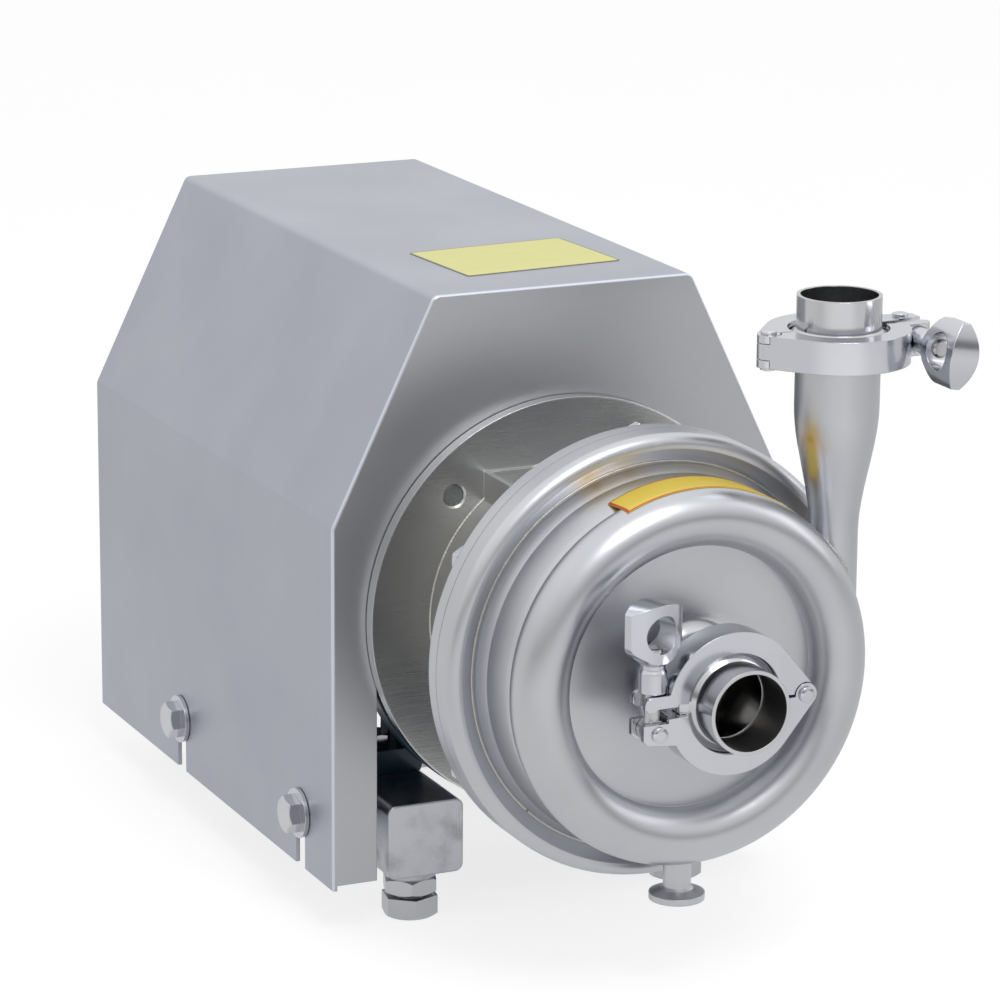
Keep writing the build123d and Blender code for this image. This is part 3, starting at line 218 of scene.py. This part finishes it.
def steel(name, tone, roughness, grain, grain_depth, brush, blotch, rough_spread, edge=None, turned=False,
          heat=(), thread=None, smudge=None, painted_highlight=None, rubbed=None, seam=None, painted_face=None):
    """Stainless steel with a directional or turned grain, and heat tints where it was welded."""
    finish = Finish(name)
    place = finish.place()
    x, y, z = finish.split(place)
    grain_place = place
    if turned:
        around = finish.node("ShaderNodeMath", {"operation": "ARCTAN2"}, {0: z, 1: x})
        grain_place = finish.join((x * x + z * z).root(), y, around * 0.01)
    fine = finish.noise(finish.stretched(grain_place, grain), 1.0, 3.0, 0.6)
    cloud = finish.noise(place, 14.0, 3.0, 0.55)
    broad = finish.noise(place, 3.5, 2.0, 0.5)
    light = (fine - 0.5) * grain_depth * 2 + (cloud - 0.5) * blotch + (broad - 0.5) * blotch + 1
    cool, warm = shade(tone, 0.96), shade(tone, 1.05, 1.04, 1.02)
    base = finish.blend(finish.span(cloud, 0.3, 0.7), cool, warm)
    rough = (fine - 0.5) * rough_spread + (cloud - 0.5) * rough_spread + roughness
    # Painted light: one face of the piece gets a lighter tone of its own
    if painted_face:
        where, lit_tone = painted_face
        base = finish.blend(where(finish, place), base, lit_tone)
    if smudge:
        stain = finish.span(finish.noise(place, 60.0, 4.0, 0.6), 0.46, 0.68)
        specks = finish.span(finish.noise(place, 420.0, 2.0, 0.5), 0.70, 0.76)
        stain = stain.high(specks)
        base = finish.blend(stain * smudge, base, shade(tone, 0.62, 0.60, 0.55))
        rough = stain * 0.2 + rough
    # Painted highlight: the steel is made lighter, and a little smoother, where the mask says
    if painted_highlight:
        highlight_share = painted_highlight(finish, place)
        base = finish.blend(highlight_share, base, shade(tone, 1.5))
        rough = rough - highlight_share * 0.1
    if rubbed:
        rough = rough + rubbed(finish, place)
    if seam:
        half_width = 0.00022
        base = finish.blend((abs(y - seam) < half_width) * 0.6, base, shade(tone, 0.12))
    for point, reach, strength in heat:
        glow = finish.near(place, point, reach)
        patch = (finish.noise(place, 90.0, 3.0, 0.6) * 0.7 + 0.55) * glow * strength
        base = finish.blend(patch.low(1.0), base, STRAW)
        base = finish.blend(((glow - 0.72) * 2.2 * strength).high(0.0).low(1.0), base, BRONZE)
    base = finish.node("ShaderNodeVectorMath", {"operation": "SCALE"}, {0: base, "Scale": light})
    normal = finish.bump(fine, brush, GRAIN_RELIEF, finish.soft_edge(edge) if edge else None)
    if thread:
        axis, pitch, start, way = thread
        along = (x, y, z)[axis]
        ridge = abs((along * (1 / pitch)).fraction() - 0.5) * ((along - start) * way > 0.0)
        normal = finish.bump(ridge, 0.9, pitch * 0.5, normal)
    finish.surface(Base_Color=base, Metallic=1.0, Roughness=rough, Normal=normal)
    return finish


# Straw and bronze heat marks left beside the welds: place, reach in metres and strength
HEAT_MARKS = (
    ((-0.032, 0.0900, 0.0828), 0.012, 0.50),
    ((-0.016, 0.0900, 0.0860), 0.013, 0.35),
    ((0.0590, 0.0610, 0.1020), 0.011, 0.66),
    ((0.0700, 0.0800, 0.0570), 0.012, 0.45),
    ((0.0, 0.0675, -0.0840), 0.010, 0.35),
)

# On the cover: how deep the fold's painted highlight and the front face's painted light reach, and how
# squarely a face looks forward
FOLD_DEPTH, PANEL_SKIN = 0.0016, 0.0002
FACES_FRONT = -0.93


def painted_fold_highlight(finish, place):
    """Painted highlight: the cover's front fold is made lighter, standing in for the light caught on its
    rounded edge.
    """
    near_front = finish.split(place)[1] < PANEL_FRONT + FOLD_DEPTH
    return near_front * (finish.split(finish.facing())[1] > FACES_FRONT)


def painted_panel_light(finish, place):
    """Painted light: the cover's welded front panel gets a lighter, warmer tone than the rest of the same
    sheet, for the light its face reflects.
    """
    near_front = finish.split(place)[1] < PANEL_FRONT + PANEL_SKIN
    return near_front * (finish.split(finish.facing())[1] < FACES_FRONT)


def painted_disc_highlights(finish, place):
    """Painted highlights on the adapter disc: a lighter rim, lighter hatch edges, and a lighter patch above
    the hatch for the reflected light from above.
    """
    x, y, z = finish.split(place)
    rim_width, edge_width = 0.0009, 0.0007
    sheen_middle, sheen_reach = (-0.030, 0.184, 0.086), 0.055
    rim = (x * x + z * z).root() > DISC_RADIUS - rim_width
    hatch_edge = (abs(abs(x) - HATCH_SIDE) < edge_width) * (abs(z - HATCH_TOP) < edge_width)
    # Painted reflection: the disc is made lighter round a point above the hatch
    patch = finish.near(place, sheen_middle, sheen_reach) * 0.9
    return rim.high(hatch_edge).high(patch)


def blasted_drum(finish, place):
    """Rougher in front of the disc, where drum and hatch were blasted and not brushed."""
    clear_of_disc = 0.0006
    return (finish.split(place)[1] < DISC_FACE - clear_of_disc) * 0.22


def polished_neck(finish, place):
    """Smoother on the neck and its flare, which are polished in the lathe."""
    x, y, z = finish.split(place)
    return finish.span((x * x + z * z).root(), NECK_EDGE, FLARE_EDGE, -0.16, 0.0)


def suction_bore(finish, place):
    x, y, z = finish.split(place)
    return ((x * x + z * z).root() < BORE_RADIUS) * 0.14


def discharge_bore(finish, place):
    x, y, z = finish.split(place)
    x, y = x - RISER.x, y - RISER.y
    return ((x * x + y * y).root() < BORE_RADIUS) * 0.04


def enamel(name, tone, roughness=0.32):
    finish = Finish(name)
    place = finish.place()
    peel = finish.noise(place, 420.0, 2.0, 0.5)
    cloud = finish.noise(place, 18.0, 3.0, 0.5)
    finish.surface(Base_Color=finish.blend(cloud, shade(tone, 0.85), shade(tone, 1.15)),
                   Roughness=(cloud - 0.5) * 0.1 + roughness,
                   Normal=finish.bump(peel, 0.15, 0.0003, finish.soft_edge(0.0008)), Coat_Weight=0.2)
    return finish


def moulded(name, tone, roughness=0.55):
    finish = Finish(name)
    place = finish.place()
    grain = finish.noise(place, 600.0, 2.0, 0.5)
    cloud = finish.noise(place, 30.0, 2.0, 0.5)
    finish.surface(Base_Color=finish.blend(cloud, shade(tone, 0.9), shade(tone, 1.1)),
                   Roughness=(cloud - 0.5) * 0.12 + roughness,
                   Normal=finish.bump(grain, 0.2, GRAIN_RELIEF))
    return finish


def foil(name, tone, roughness=0.42):
    """An adhesive foil, a little uneven where it was rubbed down."""
    finish = Finish(name)
    place = finish.place()
    fade = finish.noise(place, 60.0, 3.0, 0.5)
    ripple = finish.noise(place, 140.0, 2.0, 0.5)
    finish.surface(Base_Color=finish.blend(fade, shade(tone, 0.93), shade(tone, 1.05)),
                   Roughness=(fade - 0.5) * 0.1 + roughness,
                   Normal=finish.bump(ripple, 0.1, 0.0004), Coat_Weight=0.15)
    return finish


def dress(finish, *names):
    for name in names:
        slots = nodes[name].data.materials
        slots.clear()
        slots.append(finish.block)


# The cover gets painted light on its front face and a painted highlight along its front fold
cover_sheet = steel("cover_sheet", (0.445, 0.465, 0.528), 0.40, SHEET_GRAIN, grain_depth=0.02, brush=0.06,
                    blotch=0.05, rough_spread=0.05, edge=0.0008, painted_highlight=painted_fold_highlight,
                    painted_face=(painted_panel_light, (0.515, 0.518, 0.545)))
satin = steel("satin_casing", (0.552, 0.565, 0.60), 0.34, SPUN_GRAIN, grain_depth=0.02, brush=0.05,
              blotch=0.07, rough_spread=0.05, edge=0.0006, turned=True, heat=HEAT_MARKS,
              rubbed=polished_neck, seam=FLANGE_SEAM)
# The adapter disc carries painted highlights on its rim and hatch edges and a painted reflection above the
# hatch
plate_steel = steel("brushed_plate", (0.44, 0.445, 0.44), 0.28, BRUSHED_GRAIN, grain_depth=0.04, brush=0.32,
                    blotch=0.16, rough_spread=0.14, edge=0.0005, painted_highlight=painted_disc_highlights, rubbed=blasted_drum)
lid_steel = steel("lantern_lid_steel", (0.66, 0.67, 0.66), 0.26, BRUSHED_GRAIN, grain_depth=0.04, brush=0.12,
                  blotch=0.10, rough_spread=0.08, edge=0.0005)
polished = steel("polished_clamp", (0.59, 0.605, 0.65), 0.17, CLAMP_GRAIN, grain_depth=0.02, brush=0.06,
                 blotch=0.05, rough_spread=0.06, edge=0.0006)
turned_steel = steel("turned_ferrule", (0.58, 0.585, 0.61), 0.18, LATHE_GRAIN, grain_depth=0.03, brush=0.08,
                     blotch=0.03, rough_spread=0.06, edge=0.0004, turned=True, rubbed=suction_bore)
riser_ferrule = steel("turned_riser_ferrule", (0.56, 0.565, 0.585), 0.15, LATHE_GRAIN, grain_depth=0.03,
                      brush=0.08, blotch=0.03, rough_spread=0.06, edge=0.0004, rubbed=discharge_bore)
impeller_steel = steel("polished_impeller", (0.60, 0.57, 0.51), 0.10, LATHE_GRAIN, grain_depth=0.03,
                       brush=0.05, blotch=0.08, rough_spread=0.05, edge=0.0008, turned=True)
fastener = steel("fastener_steel", (0.58, 0.59, 0.63), 0.18, FORGED_GRAIN, grain_depth=0.03, brush=0.02,
                 blotch=0.05, rough_spread=0.05, edge=0.0005)
# Painted shade: the adapter bolts' ends get a far darker tone than the other fasteners, for the shade in the
# disc's bolt holes
shaded_bolt_end = steel("adapter_bolt_end", (0.26, 0.27, 0.28), 0.26, FORGED_GRAIN, grain_depth=0.04, brush=0.03,
                 blotch=0.10, rough_spread=0.06, edge=0.0012)
nut_steel = steel("nut_steel", (0.55, 0.56, 0.59), 0.20, FORGED_GRAIN, grain_depth=0.04, brush=0.03,
                  blotch=0.08, rough_spread=0.06, edge=0.0005)
foot_steel = steel("foot_steel", (0.52, 0.53, 0.56), 0.22, FORGED_GRAIN, grain_depth=0.04, brush=0.03,
                   blotch=0.08, rough_spread=0.06, edge=0.0005, thread=(2, FOOT_THREAD, FOOT_HEAD_TOP, 1))
suction_thread = steel("suction_bolt_steel", (0.52, 0.52, 0.53), 0.24, FORGED_GRAIN, grain_depth=0.04,
                       brush=0.03, blotch=0.06, rough_spread=0.06, edge=0.0004,
                       thread=(2, CLAMP_THREAD, 0.0, 1))
discharge_thread = steel("discharge_bolt_steel", (0.52, 0.52, 0.53), 0.24, FORGED_GRAIN, grain_depth=0.04,
                         brush=0.03, blotch=0.06, rough_spread=0.06, edge=0.0004,
                         thread=(1, CLAMP_THREAD, RISER.y, -1))
rail_steel = steel("rail_tube", (0.565, 0.582, 0.63), 0.34, TUBE_GRAIN, grain_depth=0.04, brush=0.08,
                   blotch=0.16, rough_spread=0.14, edge=0.0016, smudge=0.42)
weld_metal = steel("weld_bead", (0.52, 0.51, 0.49), 0.34, BEAD_GRAIN, grain_depth=0.10, brush=0.12,
                   blotch=0.20, rough_spread=0.15)
laminations = steel("core_laminations", (0.22, 0.21, 0.20), 0.5, CORE_GRAIN, grain_depth=0.3, brush=0.1,
                    blotch=0.1, rough_spread=0.1)
motor_paint = enamel("motor_enamel", (0.012, 0.045, 0.085))
black_rubber = moulded("black_rubber", (0.02, 0.02, 0.02), 0.6)
white_gasket = moulded("white_gasket", (0.50, 0.50, 0.48), 0.5)
fan_plastic = moulded("fan_plastic", (0.03, 0.03, 0.035), 0.5)
carbon = moulded("seal_carbon", (0.035, 0.035, 0.038), 0.35)
copper = moulded("winding_copper", (0.45, 0.16, 0.06), 0.4)
plate_foil = foil("plate_foil", (0.86, 0.83, 0.26))
plate_border = foil("plate_border", (0.21, 0.21, 0.13))
strip_foil = foil("strip_foil", (0.93, 0.70, 0.06))
strip_border = foil("strip_border", (0.66, 0.09, 0.02))

dress(cover_sheet, "motor_cover")
dress(satin, "casing", "back_plate")
dress(impeller_steel, "impeller", "impeller_nut")
dress(shaded_bolt_end, "adapter_bolts")
dress(plate_steel, "lantern")
dress(lid_steel, "lantern_lid")
dress(rail_steel, "left_rail", "right_rail", "crossbars")
dress(fastener, "casing_bolts", "lantern_bolts", "set_screws", "seal_spring", "seal_collar", "motor_shaft",
      "stub_shaft", "front_bearing", "rear_bearing", "bearing_inner_rings", "motor_foot_bolts",
      "motor_foot_nuts", "cover_washers", "cover_bolts")
dress(nut_steel, "lock_nuts")
dress(foot_steel, "front_left_foot", "front_right_foot", "rear_left_foot", "rear_right_foot")
dress(turned_steel, "suction_ferrule")
dress(riser_ferrule, "discharge_ferrule")
dress(suction_thread, "suction_swing_bolt")
dress(discharge_thread, "discharge_swing_bolt")
for port in ("suction", "discharge"):
    dress(polished, *(f"{port}_{piece}" for piece in (
        "clamp_fixed_half", "clamp_moving_half", "clamp_pins", "wing_nut")))
dress(white_gasket, "suction_gasket", "discharge_gasket")
dress(black_rubber, "casing_seal_ring", "cable_gland")
dress(carbon, "seal_seat", "seal_ring")
dress(motor_paint, "motor_flange_shield", "motor_housing", "motor_rear_shield", "fan_cowl", "terminal_box",
      "terminal_box_lid")
dress(fan_plastic, "cooling_fan")
dress(laminations, "stator_core", "rotor_core")
dress(copper, "stator_windings")


# Pieces that the solids leave out

def piece_from(name, vertices, faces, finish, body, smooth=True):
    mesh = bpy.data.meshes.new(name)
    mesh.from_pydata([tuple(v) for v in vertices], [], faces)
    mesh.materials.append(finish.block)
    for face in mesh.polygons:
        face.use_smooth = smooth
    mesh.update()
    piece = bpy.data.objects.new(name, mesh)
    bpy.context.scene.collection.objects.link(piece)
    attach(piece, body)
    return piece


BEAD_STEP, BEAD_PITCH, BEAD_SIDES = 0.0006, 0.0019, 8


def weld_bead(name, path, radius, closed=True):
    """A fillet of weld metal laid along a path, with the ripples that each drop left."""
    points = []
    ends = len(path) if closed else len(path) - 1
    run = 0.0
    for index in range(ends):
        start, end = path[index], path[(index + 1) % len(path)]
        length = (end - start).length
        count = max(1, round(length / BEAD_STEP))
        for part in range(count):
            points.append((start.lerp(end, part / count), run + length * part / count))
        run += length
    if not closed:
        points.append((path[-1], run))
    vertices, faces = [], []
    total = len(points)
    for index, (point, along) in enumerate(points):
        before = points[index - 1 if closed or index else 0][0]
        after = points[(index + 1) % total if closed else min(index + 1, total - 1)][0]
        tangent = (after - before).normalized()
        side = tangent.orthogonal().normalized()
        out = tangent.cross(side)
        drop = (along / BEAD_PITCH) % 1.0
        taper = 1.0 if closed else min(1.0, 0.35 + min(along, run - along) / (3 * radius))
        size = radius * (0.86 + 0.2 * sin(pi * drop) + 0.05 * sin(along * 900.0)) * taper
        for turn in range(BEAD_SIDES):
            angle = 2 * pi * turn / BEAD_SIDES
            vertices.append(point + (side * cos(angle) + out * sin(angle)) * size)
    for index in range(total if closed else total - 1):
        low, high = index * BEAD_SIDES, (index + 1) % total * BEAD_SIDES
        for turn in range(BEAD_SIDES):
            after = (turn + 1) % BEAD_SIDES
            faces.append((low + turn, low + after, high + after, high + turn))
    if not closed:
        faces.append(tuple(range(BEAD_SIDES))[::-1])
        faces.append(tuple(range((total - 1) * BEAD_SIDES, total * BEAD_SIDES)))
    return piece_from(name, vertices, faces, weld_metal, "frame")


def straight(place, start, end):
    """The size at a place on a straight wall between two ends, each given as place and size."""
    return start[1] + (place - start[0]) / (end[0] - start[0]) * (end[1] - start[1])


# The casing's wall: the roll's centre line and radius, then stations and radii behind it
ROLL_Y, ROLL_RING, ROLL_RADIUS = 0.0583, 0.0735, 0.0131
STEP_FOOT, STEP_HEAD, WALL_BACK = (0.0669, 0.0834), (0.0703, 0.0842), (0.0850, 0.0866)

# The riser: radius below its waist, the tube's own radius, and the heights between which it widens
WAIST_RADIUS, TUBE_RADIUS = 0.011, 0.01905
WAIST_Z, TUBE_Z = 0.057, 0.115


def shell_radius(y):
    """The casing's outer radius at a station along the shaft."""
    if y < STEP_FOOT[0]:
        return ROLL_RING + sqrt(max(0.0, ROLL_RADIUS**2 - (y - ROLL_Y) ** 2))
    if y < STEP_HEAD[0]:
        return straight(y, STEP_FOOT, STEP_HEAD)
    return straight(y, STEP_HEAD, WALL_BACK)


def riser_radius(z):
    share = min(1.0, max(0.0, (z - WAIST_Z) / (TUBE_Z - WAIST_Z)))
    return WAIST_RADIUS + (TUBE_RADIUS - WAIST_RADIUS) * (3 * share**2 - 2 * share**3)


def riser_joint():
    """Where the riser's wall runs into the casing, on the side towards the shaft."""
    first_guess, lowest, rounds = 0.06, 0.022, 12
    path = []
    for degrees in range(82, 279, 4):
        angle = radians(degrees)
        z = first_guess
        for _ in range(rounds):
            radius = riser_radius(z)
            x = RISER.x + radius * cos(angle)
            y = RISER.y + radius * sin(angle)
            z = sqrt(max(shell_radius(y) ** 2 - x**2, lowest**2))
        path.append(Vector((x, y, z)))
    return path


def ring(centre, axis, radius, first=0, last=360, count=180):
    """Points of an arc about an axis, from one angle to another in degrees."""
    centre, axis = Vector(centre), Vector(axis)
    side = axis.orthogonal().normalized()
    if abs(axis.y) > 0.5:
        side = Vector((1, 0, 0))
    rise = side.cross(axis)
    steps = count if last - first == 360 else count - 1
    angles = (radians(first + (last - first) * i / steps) for i in range(count))
    return [centre + radius * (cos(angle) * side + sin(angle) * rise) for angle in angles]


FORWARD, UPWARD = (0, -1, 0), (0, 0, 1)
FLANGE_WELD = (0.0935, 0.0901)
NECK_WELD = (0.0462, 0.0191)
DRAIN_WELD = (-0.0838, 0.0066)
BOSS_WELD = (-0.1263, 0.0127)
LUG_X, LUG_Z, LUG_RADIUS = 0.0892, -0.1018, 0.0107
LUG_STATIONS = (("front", 0.2319), ("rear", 0.3912))
CROSSBAR_END, CROSSBAR_HALF = 0.0509, 0.019
CROSSBAR_STATIONS = (("front", 0.3133), ("rear", 0.4593))
CROSSBAR_EDGES = (("upper", -0.1021), ("lower", -0.1099))

weld_bead("riser_weld", riser_joint(), 0.0013, closed=False)
weld_bead("flange_weld", ring((0, FLANGE_WELD[0], 0), FORWARD, FLANGE_WELD[1]), 0.0008)
weld_bead("drain_weld", ring((0, RISER.y, DRAIN_WELD[0]), UPWARD, DRAIN_WELD[1], count=60), 0.0009)
weld_bead("neck_weld", ring((0, NECK_WELD[0], 0), FORWARD, NECK_WELD[1], count=120), 0.0006)
weld_bead("drum_weld", ring((0, DISC_FACE, 0), FORWARD, DRUM_RADIUS, 130, 410, 150), 0.0010, closed=False)

for side, rail in ((-1, "left"), (1, "right")):
    for end, y in (("front", FRONT_FOOT), ("rear", REAR_FOOT)):
        boss_edge = ring((side * RAIL_X, y, BOSS_WELD[0]), UPWARD, BOSS_WELD[1], count=90)
        weld_bead(f"{end}_{rail}_boss_weld", boss_edge, 0.0016)
    for end, y in LUG_STATIONS:
        lug_edge = ring((side * LUG_X, y, LUG_Z), (side, 0, 0), LUG_RADIUS, count=90)
        weld_bead(f"{end}_{rail}_lug_weld", lug_edge, 0.0009)
    for end, y in CROSSBAR_STATIONS:
        for level, z in CROSSBAR_EDGES:
            edge = [Vector((side * CROSSBAR_END, y + reach, z)) for reach in (-CROSSBAR_HALF, CROSSBAR_HALF)]
            weld_bead(f"{end}_{rail}_{level}_crossbar_weld", edge, 0.0014, closed=False)


FOIL = 0.0003


def rounded_outline(wide, deep, radius, steps=6):
    """A rectangle's outline with rounded corners, from its half sizes."""
    points = []
    for quarter, (a, b) in enumerate(((1, 1), (-1, 1), (-1, -1), (1, -1))):
        for step in range(steps + 1):
            angle = pi / 2 * (quarter + step / steps)
            points.append((a * (wide - radius) + radius * cos(angle),
                           b * (deep - radius) + radius * sin(angle)))
    return points


def cover_plate():
    """The bare foil plate on top of the cover, a little askew, with its dark border."""
    centre_x, centre_y, askew, sunk = 0.005, 0.2575, radians(4), 0.00002
    wide, deep, corner = 0.0410, 0.0300, 0.0020
    border, inner_corner = 0.0009, 0.0015
    rings = [(wide, deep, corner, 0.0), (wide, deep, corner, 1.0),
             (wide - border, deep - border, inner_corner, 1.0)]
    vertices, faces = [], []
    for half_x, half_y, radius, rise in rings:
        for x, y in rounded_outline(half_x, half_y, radius):
            vertices.append((centre_x + x * cos(askew) - y * sin(askew),
                             centre_y + x * sin(askew) + y * cos(askew),
                             COVER_TOP - sunk + rise * FOIL))
    count = len(vertices) // len(rings)
    for level in range(len(rings) - 1):
        for index in range(count):
            after = (index + 1) % count
            low, high = level * count, (level + 1) * count
            faces.append((low + index, low + after, high + after, high + index))
    faces.append(tuple(range((len(rings) - 1) * count, len(rings) * count)))
    faces.append(tuple(range(count))[::-1])
    plate = piece_from("cover_plate", vertices, faces, plate_foil, "cover", smooth=False)
    plate.data.materials.append(plate_border.block)
    for face in plate.data.polygons[:2 * count]:
        face.material_index = 1


def casing_strip():
    """The bare foil strip, stuck to the rolled edge and stretched over the hollow behind it."""
    lift = 0.00005
    crest_y, crest_radius = 0.0590, 0.0866
    first, last = radians(113), radians(57)
    front_edge, back_edge = (0.0545, 0.0590), (0.0755, 0.0850)
    along, across = 56, 24
    vertices, faces = [], []
    for level in (0, 1):
        for i in range(along + 1):
            share = i / along
            angle = first + (last - first) * share
            front = front_edge[0] + (front_edge[1] - front_edge[0]) * share
            back = back_edge[0] + (back_edge[1] - back_edge[0]) * share
            crest, rear = (crest_y, crest_radius), (back, shell_radius(back))
            for j in range(across + 1):
                y = front + (back - front) * j / across
                bridge = straight(y, crest, rear) if y > crest_y else 0.0
                radius = max(shell_radius(y), bridge) + lift + level * FOIL
                vertices.append((radius * cos(angle), y, radius * sin(angle)))
    row = across + 1
    layer = (along + 1) * row
    for i in range(along):
        for j in range(across):
            a = layer + i * row + j
            faces.append((a, a + row, a + row + 1, a + 1))
    for i in range(along):
        for j in range(across):
            a = i * row + j
            faces.append((a, a + 1, a + row + 1, a + row))
    edge = [i * row for i in range(along)] + [along * row + j for j in range(across)]
    edge += [i * row + across for i in range(along, 0, -1)] + [j for j in range(across, 0, -1)]
    for index, low in enumerate(edge):
        after = edge[(index + 1) % len(edge)]
        faces.append((low, after, after + layer, low + layer))
    strip = piece_from("casing_strip", vertices, faces, strip_foil, "frame")
    strip.data.materials.append(strip_border.block)
    for face in strip.data.polygons[:along * across]:
        i, j = divmod(face.index, across)
        if j < 1 or j > across - 2 or i < 1 or i > along - 2:
            face.material_index = 1


cover_plate()
casing_strip()


# Floor, lamps and camera

FRONT_FLOOR, NEAR_FLOOR, BACK_FLOOR = 1.2, 0.82, 0.92
FRONT_ROOM, BACK_ROOM = 0.70, 0.84
FILL = 0.55
DARK_SKIRTING = 0.7
FLOOR_GLOW, GLOW_SHARE = 1.3, 0.6


def floor():
    """A pale floor that steel sees brightest in front of the pump."""
    finish = Finish("studio_floor")
    place = finish.place()
    grain = finish.noise(place, 6.0, 2.0, 0.5)
    finish.surface(Base_Color=finish.blend(grain, (0.86, 0.86, 0.86), (0.89, 0.89, 0.89)), Roughness=0.9,
                   Specular_IOR_Level=0.0)
    seen, glossy = finish.rays()
    x, y, z = finish.split(place)
    ahead = finish.span(y, -0.9, -0.25, FRONT_FLOOR, NEAR_FLOOR)
    ahead = ahead + finish.span(y, -0.1, 0.6, 0, BACK_FLOOR - NEAR_FLOOR)
    ahead = ahead * finish.span(x, 0.12, 0.6, 1.12, 0.86)
    glow = finish.node("ShaderNodeEmission", inputs={
        "Color": (1, 1, 1, 1), "Strength": seen * FLOOR_GLOW + glossy * ahead})
    mix = finish.node("ShaderNodeMixShader", inputs={
        0: seen.high(glossy) * GLOW_SHARE, 1: Value(finish, finish.shader.outputs[0]), 2: glow})
    finish.tree.links.new(mix.socket, finish.tree.nodes["Material Output"].inputs["Surface"])
    mesh = bpy.data.meshes.new("studio_floor")
    form = bmesh.new()
    form.faces.new([form.verts.new((x, y, FLOOR)) for x, y in ((-9, -9), (9, -9), (9, 12), (-9, 12))])
    form.to_mesh(mesh)
    form.free()
    mesh.materials.append(finish.block)
    piece = bpy.data.objects.new("studio_floor", mesh)
    bpy.context.scene.collection.objects.link(piece)


def studio():
    """A white room that is dimmer on the side where the camera stands."""
    world = Finish("studio_world", "worlds")
    background = world.tree.nodes["Background"]
    seen, glossy = world.rays()
    across, ahead, up = world.split(world.node("ShaderNodeTexCoord", output="Generated"))
    room = world.span(ahead, -0.8, 0.25, FRONT_ROOM, BACK_ROOM) + world.span(up, 0.15, 0.75, 0.0, 0.35)
    skirting = world.span(abs(up - 0.05), 0.05, 0.16, 1.0, 0.0) * world.span(ahead, -0.35, 0.1, 1.0, 0.0)
    room = room * (1 - skirting * DARK_SKIRTING)
    background.inputs["Color"].default_value = (1, 1, 1, 1)
    world.feed(background.inputs["Strength"], seen + (1 - seen) * (glossy * room + (1 - glossy) * FILL))
    bpy.context.scene.world = world.block


def softbox(name, place, target, size, watts):
    lamp = bpy.data.lights.new(name, "AREA")
    lamp.shape = "RECTANGLE"
    lamp.size, lamp.size_y = size
    lamp.energy = watts
    holder = bpy.data.objects.new(name, lamp)
    bpy.context.scene.collection.objects.link(holder)
    holder.location = place
    holder.rotation_euler = (Vector(target) - Vector(place)).to_track_quat("-Z", "Y").to_euler()
    holder.visible_camera = False


# The camera, fitted to the photograph: focal length in its pixels, sensor in millimetres
PHOTO_WIDTH, FOCAL_PIXELS, SENSOR = 1000, 4394.78, 36
EYE = (-0.852605, -1.597237, 0.57244)
YAW, PITCH, ROLL = radians(-24.6457), radians(14.8154), radians(0.3838)


def camera():
    ahead = Vector((-sin(YAW) * cos(PITCH), cos(YAW) * cos(PITCH), -sin(PITCH)))
    level = ahead.cross(Vector((0, 0, 1))).normalized()
    rise = level.cross(ahead)
    right = cos(ROLL) * level + sin(ROLL) * rise
    up = right.cross(ahead)
    lens = bpy.data.cameras.new("photo_camera")
    lens.sensor_width = SENSOR
    lens.sensor_fit = "HORIZONTAL"
    lens.lens = FOCAL_PIXELS / PHOTO_WIDTH * SENSOR
    lens.clip_end = 60
    eye = bpy.data.objects.new("photo_camera", lens)
    bpy.context.scene.collection.objects.link(eye)
    turn = Matrix((right, up, -ahead)).transposed()
    eye.matrix_world = Matrix.Translation(EYE) @ turn.to_4x4()
    bpy.context.scene.camera = eye


floor()
studio()
softbox("key_softbox", (-0.1, -1.1, 1.8), (0, 0.1, 0), size=(0.9, 0.9), watts=14)
softbox("side_softbox", (1.7, -0.5, 0.9), (0, 0.15, 0), size=(0.6, 1.4), watts=3)
camera()

scene = bpy.context.scene
scene.view_settings.view_transform = "Standard"
